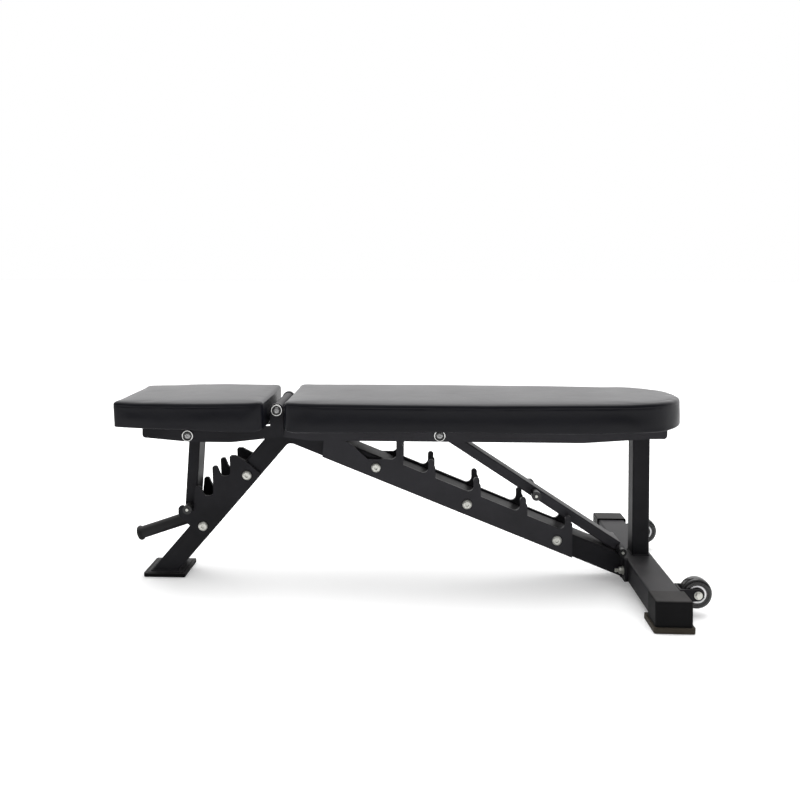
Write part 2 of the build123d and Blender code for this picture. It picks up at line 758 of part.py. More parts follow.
with BuildPart() as rest_crossbar:
    with BuildSketch(Plane.XZ):
        with Locations((post_x, (rest_z + pad_bottom) / 2)):
            tube_section(50, pad_bottom - rest_z, 2.5, 4)
    extrude(amount=inner_ear_y, both=True)
rest_crossbar.part.label = "rest_crossbar"
export_step(rest_crossbar.part, "parts/rest_crossbar.step")

with BuildPart() as back_prop_shaft:
    pivot_shaft(back_prop_x, back_prop_z, inner_face_y + shaft_end)
back_prop_shaft.part.label = "back_prop_shaft"
export_step(back_prop_shaft.part, "parts/back_prop_shaft.step")

with BuildPart() as back_prop_rings:
    pivot_rings(back_prop_x, back_prop_z, inner_face_y)
back_prop_rings.part.label = "back_prop_rings"
export_step(back_prop_rings.part, "parts/back_prop_rings.step")


# ---- props ----
def prop_tube(pivot, catch, overrun, width, depth):
    """Box tube from a pivot to a catch rod, past it by overrun."""
    length = hypot(catch[0] - pivot[0], catch[1] - pivot[1])
    slope = degrees(atan2(pivot[1] - catch[1], catch[0] - pivot[0]))
    with BuildSketch(place_axis(pivot[0], pivot[1], slope)) as section:
        tube_section(width, depth, prop_wall, 3)
    extrude(section.sketch, amount=length + overrun)


def prop_sleeve(x, z, radius, half_length):
    """Bush tube that turns on the pivot shaft."""
    cross_rod(x, z, radius, half_length)
    cross_rod(x, z, shaft_radius + running_gap, half_length, mode=Mode.SUBTRACT)


def catch_caps(spots, cap_radius):
    """Rubber end caps on a catch rod, with a blind screw hole."""
    for x, z in spots:
        side_disc(x, z, cap_radius, catch_half_length, catch_half_length + catch_cap_length)
        side_disc(x, z, 3, catch_half_length, catch_half_length + catch_cap_length, mode=Mode.SUBTRACT)
    mirror(about=Plane.XZ)


def catch_screws(spots):
    """Pan head screws that hold the end caps."""
    for x, z in spots:
        cap_end = catch_half_length + catch_cap_length
        side_disc(x, z, 2.9, catch_half_length, cap_end)
        side_disc(x, z, 3.3, cap_end, cap_end + 1.8)
    mirror(about=Plane.XZ)


seat_pivot = (seat_prop_x, seat_prop_z)
seat_catch = (seat_catch_x, seat_catch_z)
seat_rod_radius = 10

with BuildPart() as seat_prop_sleeve:
    prop_sleeve(seat_prop_x, seat_prop_z, seat_sleeve_radius, outer_ear_y - 0.5)
seat_prop_sleeve.part.label = "seat_prop_sleeve"
export_step(seat_prop_sleeve.part, "parts/seat_prop_sleeve.step")

with BuildPart() as seat_prop_tube:
    prop_tube(seat_pivot, seat_catch, 12, seat_prop_width, seat_prop_depth)
    cross_rod(seat_prop_x, seat_prop_z, seat_sleeve_radius, seat_prop_width, mode=Mode.SUBTRACT)
    cross_rod(seat_catch_x, seat_catch_z, seat_rod_radius, seat_prop_width, mode=Mode.SUBTRACT)
seat_prop_tube.part.label = "seat_prop_tube"
export_step(seat_prop_tube.part, "parts/seat_prop_tube.step")

with BuildPart() as seat_catch_rod:
    cross_rod(seat_catch_x, seat_catch_z, seat_rod_radius, catch_half_length)
seat_catch_rod.part.label = "seat_catch_rod"
export_step(seat_catch_rod.part, "parts/seat_catch_rod.step")

with BuildPart() as seat_catch_caps:
    catch_caps([seat_catch], catch_cap_radius)
seat_catch_caps.part.label = "seat_catch_caps"
export_step(seat_catch_caps.part, "parts/seat_catch_caps.step")

with BuildPart() as seat_catch_screws:
    catch_screws([seat_catch])
seat_catch_screws.part.label = "seat_catch_screws"
export_step(seat_catch_screws.part, "parts/seat_catch_screws.step")

back_pivot = (back_prop_x, back_prop_z)
back_catch = (back_catch_x, back_catch_z)
mid_catch = (
    back_prop_x + mid_catch_share * (back_catch_x - back_prop_x),
    back_prop_z + mid_catch_share * (back_catch_z - back_prop_z),
)
back_rod_radius = 9
prop_rest_gap = 0.5
spine_skin = Plane(
    origin=(0, 0, spine_top(0)),
    x_dir=(0, 1, 0),
    z_dir=(sin(radians(spine_slope)), 0, cos(radians(spine_slope))),
)

with BuildPart() as back_prop_sleeve:
    prop_sleeve(back_prop_x, back_prop_z, prop_sleeve_radius, inner_ear_y - 0.5)
back_prop_sleeve.part.label = "back_prop_sleeve"
export_step(back_prop_sleeve.part, "parts/back_prop_sleeve.step")

with BuildPart() as back_prop_tube:
    prop_tube(back_pivot, back_catch, -4, prop_width, prop_depth)
    cross_rod(back_prop_x, back_prop_z, prop_sleeve_radius, prop_width, mode=Mode.SUBTRACT)
    cross_rod(mid_catch[0], mid_catch[1], back_rod_radius, prop_width, mode=Mode.SUBTRACT)
    cross_rod(back_catch_x, back_catch_z, back_rod_radius, prop_width, mode=Mode.SUBTRACT)
    split(bisect_by=spine_skin.offset(prop_rest_gap), keep=Keep.TOP)
back_prop_tube.part.label = "back_prop_tube"
export_step(back_prop_tube.part, "parts/back_prop_tube.step")

with BuildPart() as back_catch_rods:
    cross_rod(mid_catch[0], mid_catch[1], back_rod_radius, catch_half_length)
    cross_rod(back_catch_x, back_catch_z, back_rod_radius, catch_half_length)
back_catch_rods.part.label = "back_catch_rods"
export_step(back_catch_rods.part, "parts/back_catch_rods.step")

with BuildPart() as back_catch_caps:
    catch_caps([mid_catch], catch_cap_radius)
    catch_caps([back_catch], back_rod_radius)
back_catch_caps.part.label = "back_catch_caps"
export_step(back_catch_caps.part, "parts/back_catch_caps.step")

with BuildPart() as back_catch_screws:
    catch_screws([mid_catch, back_catch])
back_catch_screws.part.label = "back_catch_screws"
export_step(back_catch_screws.part, "parts/back_catch_screws.step")

# ---- transport wheels: a fork, an axle bolt and a rolling wheel on each side ----
fork_half = wheel_width / 2 + bracket_gap + bracket_thickness
fork_bottom = 30
fork_top = wheel_z + bracket_end_radius

with BuildPart() as wheel_forks:
    with BuildSketch(Plane.XZ.offset(wheel_y - fork_half)):
        with BuildLine():
            Line((wheel_x, fork_top), (beam_rear_x, fork_top))
            Line((beam_rear_x, fork_top), (beam_rear_x, fork_bottom))
            Line((beam_rear_x, fork_bottom), (wheel_x, wheel_z - bracket_end_radius))
            ThreePointArc(
                (wheel_x, wheel_z - bracket_end_radius),
                (wheel_x + bracket_end_radius, wheel_z),
                (wheel_x, fork_top),
            )
        make_face()
        with Locations((wheel_x, wheel_z)):
            Circle(axle_radius + 0.1, mode=Mode.SUBTRACT)
    extrude(amount=2 * fork_half)
    with BuildSketch(Plane.XZ.offset(wheel_y - fork_half + bracket_thickness)):
        with Locations((beam_rear_x + bracket_thickness, 0)):
            Rectangle(100, 200, align=(Align.MIN, Align.CENTER))
    extrude(amount=2 * (fork_half - bracket_thickness), mode=Mode.SUBTRACT)
    mirror(about=Plane.XZ)
wheel_forks.part.label = "wheel_forks"
export_step(wheel_forks.part, "parts/wheel_forks.step")

axle_head_height = 5.3
with BuildPart() as wheel_axles:
    axle_length = 2 * fork_half + 10
    side_disc(wheel_x, wheel_z, axle_radius, wheel_y + fork_half - axle_length, wheel_y + fork_half)
    with BuildSketch(Plane.XZ.offset(wheel_y + fork_half)):
        with Locations((wheel_x, wheel_z)):
            RegularPolygon(6.5, 6, major_radius=False)
    extrude(amount=axle_head_height)
    mirror(about=Plane.XZ)
wheel_axles.part.label = "wheel_axles"
export_step(wheel_axles.part, "parts/wheel_axles.step")

with BuildPart() as wheel_nuts:
    with BuildSketch(Plane.XZ.offset(wheel_y - fork_half - 7)):
        with Locations((wheel_x, wheel_z)):
            RegularPolygon(6.5, 6, major_radius=False)
            Circle(axle_radius + 0.05, mode=Mode.SUBTRACT)
    extrude(amount=7)
    mirror(about=Plane.XZ)
wheel_nuts.part.label = "wheel_nuts"
export_step(wheel_nuts.part, "parts/wheel_nuts.step")


def ring_about_axle(outer, inner, y_from, y_to):
    side_disc(wheel_x, wheel_z, outer, y_from, y_to)
    side_disc(wheel_x, wheel_z, inner, y_from, y_to, mode=Mode.SUBTRACT)


with BuildPart() as tyre_near:
    ring_about_axle(wheel_radius, hub_radius, wheel_y - wheel_width / 2, wheel_y + wheel_width / 2)
    tread_edges = tyre_near.edges().filter_by(GeomType.CIRCLE)
    outer_edges = [edge for edge in tread_edges if edge.radius > hub_radius + 1]
    fillet(outer_edges, radius=9)
tyre_near.part.label = "tyre_near"
export_step(tyre_near.part, "parts/tyre_near.step")

ring_depth = 2
rim_ring_width = 4.5
with BuildPart() as hub_near:
    ring_about_axle(hub_radius, axle_radius + 1, wheel_y - hub_width / 2, wheel_y + hub_width / 2)
    for y_from, y_to in ((wheel_y - hub_width / 2, wheel_y - hub_width / 2 + bearing_width),
                         (wheel_y + hub_width / 2 - bearing_width, wheel_y + hub_width / 2)):
        side_disc(wheel_x, wheel_z, bearing_radius, y_from, y_to, mode=Mode.SUBTRACT)
    for y_from in (wheel_y - hub_width / 2, wheel_y + hub_width / 2 - ring_depth):
        side_disc(wheel_x, wheel_z, hub_radius, y_from, y_from + ring_depth, mode=Mode.SUBTRACT)
        ring_about_axle(hub_radius - rim_ring_width, bearing_radius, y_from, y_from + ring_depth)
hub_near.part.label = "hub_near"
export_step(hub_near.part, "parts/hub_near.step")

with BuildPart() as rim_rings_near:
    for y_from in (wheel_y - hub_width / 2, wheel_y + hub_width / 2 - ring_depth):
        ring_about_axle(hub_radius, hub_radius - rim_ring_width, y_from, y_from + ring_depth)
rim_rings_near.part.label = "rim_rings_near"
export_step(rim_rings_near.part, "parts/rim_rings_near.step")

with BuildPart() as bearings_near:
    for y_from in (wheel_y - hub_width / 2, wheel_y + hub_width / 2 - bearing_width):
        ring_about_axle(bearing_radius, axle_radius + running_gap, y_from, y_from + bearing_width)
bearings_near.part.label = "bearings_near"
export_step(bearings_near.part, "parts/bearings_near.step")

with BuildPart() as tyre_far:
    mirror(tyre_near.part, about=Plane.XZ)
tyre_far.part.label = "tyre_far"
export_step(tyre_far.part, "parts/tyre_far.step")

with BuildPart() as hub_far:
    mirror(hub_near.part, about=Plane.XZ)
hub_far.part.label = "hub_far"
export_step(hub_far.part, "parts/hub_far.step")

with BuildPart() as rim_rings_far:
    mirror(rim_rings_near.part, about=Plane.XZ)
rim_rings_far.part.label = "rim_rings_far"
export_step(rim_rings_far.part, "parts/rim_rings_far.step")

with BuildPart() as bearings_far:
    mirror(bearings_near.part, about=Plane.XZ)
bearings_far.part.label = "bearings_far"
export_step(bearings_far.part, "parts/bearings_far.step")
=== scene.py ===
# %% [markdown]
# # An adjustable weight bench, from frame to finish
# The steel frame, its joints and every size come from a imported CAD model,
# which this notebook loads and never moves. What Blender adds is what makes
# steel look coated, vinyl look stuffed and bolts look turned. Lengths are in
# metres, +X runs from the seat to the wheels, and +Z is up.

# %% Load the frame
import json
import math

import bpy
import numpy as np
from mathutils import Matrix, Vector


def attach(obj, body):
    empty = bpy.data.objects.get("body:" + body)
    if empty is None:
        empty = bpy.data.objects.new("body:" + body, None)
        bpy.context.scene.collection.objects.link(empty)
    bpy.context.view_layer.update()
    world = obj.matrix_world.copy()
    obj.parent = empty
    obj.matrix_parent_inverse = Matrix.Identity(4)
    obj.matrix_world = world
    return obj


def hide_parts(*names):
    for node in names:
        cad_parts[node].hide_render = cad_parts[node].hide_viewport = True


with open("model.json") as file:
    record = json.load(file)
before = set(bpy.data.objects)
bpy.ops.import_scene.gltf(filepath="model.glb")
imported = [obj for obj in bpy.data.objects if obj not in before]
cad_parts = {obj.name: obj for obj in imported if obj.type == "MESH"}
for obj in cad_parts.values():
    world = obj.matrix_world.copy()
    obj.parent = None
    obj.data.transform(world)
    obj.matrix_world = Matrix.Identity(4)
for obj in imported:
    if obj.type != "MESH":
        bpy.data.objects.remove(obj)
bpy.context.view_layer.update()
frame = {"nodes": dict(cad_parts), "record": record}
nodes = frame["nodes"]
MM = 0.001

# %% [markdown]
# ## Camera
# A bench is best shown from low down and almost square on, so that both pads
# read as long dark slabs and the ladders between them stay legible. The lens
# is a short portrait lens. The sensor is shifted rather than the camera
# tilted, which keeps the upright post upright.

# %% Camera
camera_place = (0.0342, -1.9829, 0.7613)
camera_turn = 0.0467
camera_dip = 0.0263
lens = bpy.data.cameras.new("studio_camera")
lens.sensor_width = 36.0
lens.lens = 36.74
lens.shift_x = 0.027
lens.shift_y = -0.145
lens.clip_end = 60.0
camera = bpy.data.objects.new("studio_camera", lens)
camera.location = camera_place
camera.rotation_euler = (math.pi / 2 - camera_dip, 0.0, camera_turn)
bpy.context.scene.collection.objects.link(camera)
bpy.context.scene.camera = camera
print("camera with a", lens.lens, "mm lens")

# %% [markdown]
# ## A helper for shader nodes
# Sky, floor and finishes are all trees of nodes. One helper adds a node, sets
# its values and links what feeds it, so that each tree reads as a short list.
# Without it, every value and every link would take a line of its own.


# %% Add a node
def add(tree, kind, links=(), **settings):
    """Adds a node, sets its properties or its sockets, and links sockets into it."""
    node = tree.nodes.new("ShaderNode" + kind)
    for name, value in settings.items():
        if hasattr(node, name):
            setattr(node, name, value)
        else:
            node.inputs[name.replace("_", " ")].default_value = value
    for source, target in links:
        tree.links.new(source, node.inputs[target])
    return node


print("helper ready")

# %% [markdown]
# ## Light
# Black vinyl has almost no colour of its own: what the eye sees is what it
# reflects. A big soft box overhead and a bright wall behind the bench put a
# grey sheen on the top of the pads, and a dim room on the camera's side keeps
# their flanks almost black. Three area lamps would do, but a sky that is
# brighter behind than in front is smoother, and it leaves no hard shadow.

# %% Sky and lamps
WHITE = (1.0, 1.0, 1.0, 1.0)


def brighter_behind(world, front, back, overhead):
    """Light from each direction: front to back along Y, and overhead added towards +Z.

    The camera itself sees plain white instead.
    """
    world.use_nodes = True
    tree = world.node_tree
    tree.nodes.clear()
    place = add(tree, "TexCoord")
    parts = add(tree, "SeparateXYZ", [(place.outputs["Generated"], 0)])
    along = add(tree, "MapRange", [(parts.outputs["Y"], "Value")], interpolation_type="SMOOTHSTEP",
                From_Min=-0.5, From_Max=0.5, To_Min=front, To_Max=back)
    above = add(tree, "MapRange", [(parts.outputs["Z"], "Value")], interpolation_type="SMOOTHSTEP",
                From_Min=0.1, From_Max=1.0, To_Min=0.0, To_Max=overhead)
    total = add(tree, "Math", [(along.outputs["Result"], 0), (above.outputs["Result"], 1)],
                operation="ADD")
    seen = add(tree, "LightPath")
    choice = add(tree, "Mix", [(seen.outputs["Is Camera Ray"], "Factor"), (total.outputs[0], "A")],
                 data_type="FLOAT", B=1.0)
    shine = add(tree, "Background", [(choice.outputs["Result"], "Strength")], Color=WHITE)
    add(tree, "OutputWorld", [(shine.outputs["Background"], "Surface")])


def soft_box(name, place, aim, width, depth, watts):
    """A rectangular lamp at place whose face looks at aim."""
    lamp = bpy.data.lights.new(name, "AREA")
    lamp.shape = "RECTANGLE"
    lamp.size, lamp.size_y, lamp.energy = width, depth, watts
    holder = bpy.data.objects.new(name, lamp)
    holder.location = place
    direction = Vector(aim) - Vector(place)
    holder.rotation_euler = direction.to_track_quat("-Z", "Y").to_euler()
    bpy.context.scene.collection.objects.link(holder)


studio_sky = bpy.data.worlds.new("studio_sky")
bpy.context.scene.world = studio_sky
brighter_behind(studio_sky, front=0.04, back=1.32, overhead=0.85)
soft_box("overhead_box", (0.1, 0.35, 2.6), (0.0, 0.1, 0.0), 3.2, 2.0, 62.0)
soft_box("front_fill", (-1.2, -2.8, 1.9), (0.0, 0.0, 0.3), 1.6, 1.0, 2.0)
bpy.context.scene.view_settings.view_transform = "Standard"
print("sky and two soft boxes")

# %% [markdown]
# ## Shared surface effects
# Real finishes repeat a few effects: a fine grain, slow changes of tone, dust
# that settles on what faces up, and marks from handling. Each is a node group,
# built once, and every material sets its own amounts. Painting them by hand
# would look better on one part and could not follow the others.

# %% An empty group with named sockets
FLOAT, COLOUR, VECTOR = "NodeSocketFloat", "NodeSocketColor", "NodeSocketVector"


def open_group(name, inputs, outputs):
    """An empty shader group with named sockets, and its two end nodes."""
    group = bpy.data.node_groups.new(name, "ShaderNodeTree")
    for label, kind, value in inputs:
        socket = group.interface.new_socket(label, in_out="INPUT", socket_type=kind)
        if value is not None:
            socket.default_value = value
    for label, kind in outputs:
        group.interface.new_socket(label, in_out="OUTPUT", socket_type=kind)
    return group, group.nodes.new("NodeGroupInput"), group.nodes.new("NodeGroupOutput")


# %% Fine grain: small bumps and slow patches of tone
grain_group, ins, outs = open_group(
    "fine_grain",
    [("Place", VECTOR, None), ("Grains per Metre", FLOAT, 900.0),
     ("Patches per Metre", FLOAT, 9.0)],
    [("Grain", FLOAT), ("Patches", FLOAT)],
)
where = ins.outputs["Place"]
small = add(grain_group, "TexNoise",
            [(where, "Vector"), (ins.outputs["Grains per Metre"], "Scale")],
            Detail=2.0, Roughness=0.6)
large = add(grain_group, "TexNoise",
            [(where, "Vector"), (ins.outputs["Patches per Metre"], "Scale")],
            Detail=4.0, Roughness=0.55)
grain_group.links.new(small.outputs["Fac"], outs.inputs["Grain"])
grain_group.links.new(large.outputs["Fac"], outs.inputs["Patches"])
print("group", grain_group.name)

# %% Settled dust: a pale film on faces that look up, thicker in patches
dust_group, ins, outs = open_group(
    "settled_dust",
    [("Colour", COLOUR, (0.1, 0.1, 0.1, 1.0)), ("Up", FLOAT, 0.0), ("Patches", FLOAT, 0.5),
     ("Amount", FLOAT, 0.1)],
    [("Colour", COLOUR), ("Mask", FLOAT)],
)
facing = add(dust_group, "MapRange", [(ins.outputs["Up"], "Value")], From_Min=0.55, From_Max=0.98)
broken = add(dust_group, "MapRange", [(ins.outputs["Patches"], "Value")],
             From_Min=0.3, From_Max=0.75, To_Min=0.25, To_Max=1.0)
film = add(dust_group, "Math", [(facing.outputs[0], 0), (broken.outputs[0], 1)],
           operation="MULTIPLY")
thick = add(dust_group, "Math", [(film.outputs[0], 0), (ins.outputs["Amount"], 1)],
            operation="MULTIPLY")
dusted = add(dust_group, "Mix", [(thick.outputs[0], "Factor")], data_type="RGBA")
dust_group.links.new(ins.outputs["Colour"], dusted.inputs[6])
dusted.inputs[7].default_value = (0.36, 0.34, 0.33, 1.0)
dust_group.links.new(dusted.outputs[2], outs.inputs["Colour"])
dust_group.links.new(thick.outputs[0], outs.inputs["Mask"])
print("group", dust_group.name)

# %% Handling marks: fine scratches that run mostly one way
marks_group, ins, outs = open_group(
    "handling_marks",
    [("Place", VECTOR, None), ("Marks per Metre", FLOAT, 60.0), ("Amount", FLOAT, 0.5)],
    [("Mask", FLOAT)],
)
spread = add(marks_group, "Mapping", [(ins.outputs["Place"], "Vector")],
             Scale=(1.0, 7.0, 16.0), Rotation=(0.3, 0.5, 0.2))
streaks = add(marks_group, "TexNoise",
              [(spread.outputs[0], "Vector"), (ins.outputs["Marks per Metre"], "Scale")],
              Detail=6.0, Roughness=0.7)
thin = add(marks_group, "MapRange", [(streaks.outputs["Fac"], "Value")],
           From_Min=0.6, From_Max=0.72)
level = add(marks_group, "Math", [(thin.outputs[0], 0), (ins.outputs["Amount"], 1)],
            operation="MULTIPLY")
marks_group.links.new(level.outputs[0], outs.inputs["Mask"])
print("group", marks_group.name)

# %% [markdown]
# ## One recipe for every hard finish
# Powder coat, zinc, nickel, nylon and rubber differ in numbers more than in
# kind, so one function builds them: a colour that drifts in patches, a film of
# dust, marks that change the gloss, and a grain that bends the light.


# %% A finish from the shared groups
def finish(name, colour, gloss, metal=0.0, specular=0.5, drift=0.25, grain=900.0,
           grain_depth=0.03, patches=9.0, dust=0.0, marks=0.0, gloss_drift=0.08):
    """Builds a material; colour is linear, gloss is roughness, grain_depth is in millimetres."""
    material = bpy.data.materials.new(name)
    material.use_nodes = True
    tree = material.node_tree
    shader = tree.nodes["Principled BSDF"]
    place = add(tree, "TexCoord")
    surface = add(tree, "Group", node_tree=grain_group)
    surface.inputs["Grains per Metre"].default_value = grain
    surface.inputs["Patches per Metre"].default_value = patches
    tree.links.new(place.outputs["Object"], surface.inputs["Place"])
    deep = [c * (1.0 - drift) for c in colour] + [1.0]
    pale = [c * (1.0 + drift) for c in colour] + [1.0]
    tone = add(tree, "ValToRGB", [(surface.outputs["Patches"], "Fac")])
    for stop, position, shade in zip(tone.color_ramp.elements, (0.3, 0.7), (deep, pale)):
        stop.position, stop.color = position, shade
    scuffs = add(tree, "Group", node_tree=marks_group)
    scuffs.inputs["Amount"].default_value = marks
    tree.links.new(place.outputs["Object"], scuffs.inputs["Place"])
    marked = add(tree, "Mix", [(scuffs.outputs["Mask"], "Factor")], data_type="RGBA")
    tree.links.new(tone.outputs["Color"], marked.inputs[6])
    marked.inputs[7].default_value = [min(1.0, 2.2 * c) for c in colour] + [1.0]
    up = add(tree, "SeparateXYZ", [(place.outputs["Normal"], 0)])
    film = add(tree, "Group", node_tree=dust_group)
    film.inputs["Amount"].default_value = dust
    tree.links.new(marked.outputs[2], film.inputs["Colour"])
    tree.links.new(up.outputs["Z"], film.inputs["Up"])
    tree.links.new(surface.outputs["Patches"], film.inputs["Patches"])
    tree.links.new(film.outputs["Colour"], shader.inputs["Base Color"])
    rough = add(tree, "MapRange", [(surface.outputs["Patches"], "Value")],
                From_Min=0.25, From_Max=0.75,
                To_Min=gloss - gloss_drift, To_Max=gloss + gloss_drift)
    rougher = add(tree, "Math", [(scuffs.outputs["Mask"], 0), (rough.outputs[0], 2)],
                  operation="MULTIPLY_ADD")
    rougher.inputs[1].default_value = 0.25
    tree.links.new(rougher.outputs[0], shader.inputs["Roughness"])
    bump = add(tree, "Bump", [(surface.outputs["Grain"], "Height")],
               Strength=1.0, Distance=grain_depth * MM)
    tree.links.new(bump.outputs["Normal"], shader.inputs["Normal"])
    shader.inputs["Metallic"].default_value = metal
    shader.inputs["Specular IOR Level"].default_value = specular
    return material


# %% [markdown]
# ## The hard finishes
# The frame is steel under a black satin powder coat. Powder is sprayed dry and
# baked, and it melts into a skin with a fine orange peel. Bolts are bright
# zinc, the pivots' rings are nickel, and feet and caps are moulded rubber and
# plastic, which hold more dust than steel does.

# %% Steel finishes
black_coat = finish("black_powder_coat", (0.0190, 0.0188, 0.0212), 0.47, specular=0.07,
                    grain=650.0, grain_depth=0.05, dust=0.10, marks=0.12)
plate_coat = finish("ladder_plate_coat", (0.0275, 0.0268, 0.0310), 0.46, specular=0.16,
                    grain=650.0, grain_depth=0.05, dust=0.10, marks=0.22)
zinc = finish("bright_zinc", (0.56, 0.56, 0.52), 0.36, metal=0.85,
              grain=1800.0, grain_depth=0.01, patches=60.0, marks=0.5)
nickel = finish("bright_nickel", (0.62, 0.62, 0.61), 0.24, metal=1.0,
                grain=2200.0, grain_depth=0.006, patches=80.0, marks=0.5)
rim_steel = finish("satin_rim_steel", (0.55, 0.55, 0.56), 0.28, metal=1.0,
                   grain=2000.0, grain_depth=0.008, patches=60.0, marks=0.4)
print("five steel finishes")

# %% Rubber, plastic and board
tray_rubber = finish("tray_rubber", (0.0050, 0.0050, 0.0054), 0.55, specular=0.07,
                     grain=600.0, grain_depth=0.06, drift=0.3, dust=0.12, marks=0.2)
grip_rubber = finish("grip_rubber", (0.010, 0.010, 0.0105), 0.66, specular=0.35,
                     grain=800.0, grain_depth=0.08, dust=0.12)
cap_plastic = finish("cap_plastic", (0.010, 0.010, 0.0105), 0.4, specular=0.45,
                     grain=900.0, grain_depth=0.03, dust=0.08)
tyre_rubber = finish("tyre_rubber", (0.009, 0.009, 0.0095), 0.22, specular=0.5,
                     grain=700.0, grain_depth=0.02, dust=0.06, marks=0.15)
hub_nylon = finish("hub_nylon", (0.014, 0.014, 0.015), 0.38, specular=0.45,
                   grain=800.0, grain_depth=0.03, dust=0.1)
stained_board = finish("stained_board", (0.022, 0.018, 0.015), 0.7, specular=0.3,
                       grain=350.0, grain_depth=0.12, drift=0.45, patches=30.0)
print("six moulded and wooden finishes")

# %% [markdown]
# ## Two-tone shoes
# The rubber shoe on each end of the rear beam is a black sleeve over a brown
# sole. The two could be separate pieces, but they are one moulding, so the
# colour changes with height instead, on a narrow edge.


# %% Black sleeves over brown soles
def two_tone(name, below, height, edge):
    """A copy of the tray's rubber whose colour turns to below under the height in millimetres."""
    material = tray_rubber.copy()
    material.name = name
    tree = material.node_tree
    shader = tree.nodes["Principled BSDF"]
    above = shader.inputs["Base Color"].links[0].from_socket
    place = add(tree, "TexCoord")
    parts = add(tree, "SeparateXYZ", [(place.outputs["Object"], 0)])
    share = add(tree, "MapRange", [(parts.outputs["Z"], "Value")], To_Min=0.0, To_Max=1.0,
                From_Min=(height - edge) * MM, From_Max=(height + edge) * MM)
    blend = add(tree, "Mix", [(share.outputs[0], "Factor")], data_type="RGBA")
    blend.inputs[6].default_value = list(below) + [1.0]
    tree.links.new(above, blend.inputs[7])
    tree.links.new(blend.outputs[2], shader.inputs["Base Color"])
    return material


shoe_rubber = two_tone("shoe_rubber", (0.046, 0.039, 0.030), height=12.2, edge=0.5)
print("two-tone shoes")

# %% Which finish each CAD node wears
finish_of_slot = {
    "frame_coat": black_coat, "zinc_bolt": zinc, "pivot_steel": nickel, "rim_silver": rim_steel,
    "bearing_steel": rim_steel, "board": stained_board, "foot_rubber": tray_rubber,
    "grip_rubber": grip_rubber, "cap_plastic": cap_plastic, "wheel_tyre": tyre_rubber,
    "wheel_hub": hub_nylon, "vinyl": cap_plastic,
}
finish_of_node = {
    "back_ladder_near": plate_coat, "back_ladder_far": plate_coat, "backrest_plates": plate_coat,
    "back_prop_tube": plate_coat, "base_shoe_near": shoe_rubber, "base_shoe_far": shoe_rubber,
}
for part in frame["record"]["subparts"]:
    worn = finish_of_node.get(part["node"], finish_of_slot[part["material_slot"]])
    for holder in nodes[part["node"]].material_slots:
        holder.material = worn
print("materials on", len(nodes), "nodes")

# %% [markdown]
# ## Making meshes from formulas
# Each new piece is a surface worked out as whole arrays: a ring of points
# carried through rows. A few helpers turn such grids into closed meshes.


# %% Grid to mesh
def grid_faces(index, flip=False):
    """Faces of a grid of vertex numbers: each four neighbours make one."""
    corners = [index[:-1, :-1], index[1:, :-1], index[1:, 1:], index[:-1, 1:]]
    quads = np.stack(corners, axis=-1).reshape(-1, 4)
    return quads[:, ::-1] if flip else quads


def mesh_from(name, points, quads, caps=()):
    """A mesh from points, an array of four-cornered faces and a few many-cornered caps."""
    loops = np.concatenate([quads.ravel()] + [np.asarray(cap) for cap in caps]).astype(np.int32)
    sizes = np.concatenate([np.full(len(quads), 4), [len(cap) for cap in caps]]).astype(np.int32)
    starts = np.concatenate([[0], np.cumsum(sizes)[:-1]]).astype(np.int32)
    mesh = bpy.data.meshes.new(name)
    mesh.vertices.add(len(points))
    mesh.vertices.foreach_set("co", np.asarray(points, np.float32).ravel())
    mesh.loops.add(len(loops))
    mesh.loops.foreach_set("vertex_index", loops)
    mesh.polygons.add(len(sizes))
    mesh.polygons.foreach_set("loop_start", starts)
    mesh.update(calc_edges=True)
    mesh.polygons.foreach_set("use_smooth", np.ones(len(sizes), bool))
    mesh.set_sharp_from_angle(angle=math.radians(32))
    return mesh


def tube_rings(rings, looped=False):
    """Faces for rings of points [row, around]: capped at both ends, or looped back to row one."""
    rows, around = rings.shape[:2]
    index = np.arange(rows * around).reshape(rows, around)
    wrapped = np.hstack([index, index[:, :1]])
    if looped:
        return grid_faces(np.vstack([wrapped, wrapped[:1]]), flip=True), []
    return grid_faces(wrapped, flip=True), [index[0][::-1], index[-1]]


def put(name, grids, body, material, stands_for=(), looped=False):
    """One piece from several grids of rings, riding on a body."""
    points, quads, caps, start = [], [], [], 0
    for rings in grids:
        faces, ends = tube_rings(rings, looped)
        quads.append(faces + start)
        caps += [end + start for end in ends]
        points.append(rings.reshape(-1, 3))
        start += rings.shape[0] * rings.shape[1]
    mesh = mesh_from(name, np.concatenate(points), np.concatenate(quads), caps)
    piece = bpy.data.objects.new(name, mesh)
    bpy.context.scene.collection.objects.link(piece)
    mesh.materials.append(material)
    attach(piece, body)
    if stands_for:
        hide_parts(*stands_for)
    print(name, len(mesh.polygons), "faces on", body)


# %% Turned shapes
def profile(rows, around, lean):
    """How far out each row lies, its radius at each angle, and the angles.

    Row (out, radius, hex), in millimetres, is a circle, or a hexagon as hex goes to 1.
    The radius at angle t is radius times (1 - hex + hex times h(t)), where h(t) is
    cos 30 over cos of t's distance to the middle of its flat.
    """
    rows = np.asarray(rows, float) * [MM, MM, 1.0]
    t = np.linspace(0, 2 * np.pi, around, endpoint=False) + lean
    flat = np.cos(np.pi / 6) / np.cos((t % (np.pi / 3)) - np.pi / 6)
    return rows[:, 0:1], rows[:, 1:2] * (1 - rows[:, 2:3] + rows[:, 2:3] * flat), t


def turned(rows, centre, side, around=48, lean=0.0):
    """A profile's rings on an axis along Y, where out runs along side times Y from the centre."""
    out, radius, t = profile(rows, around, lean)
    x = centre[0] + radius * np.cos(t)
    z = centre[2] + side * radius * np.sin(t)
    y = np.broadcast_to(centre[1] + side * out, x.shape)
    return np.stack([x, y, z], axis=-1)

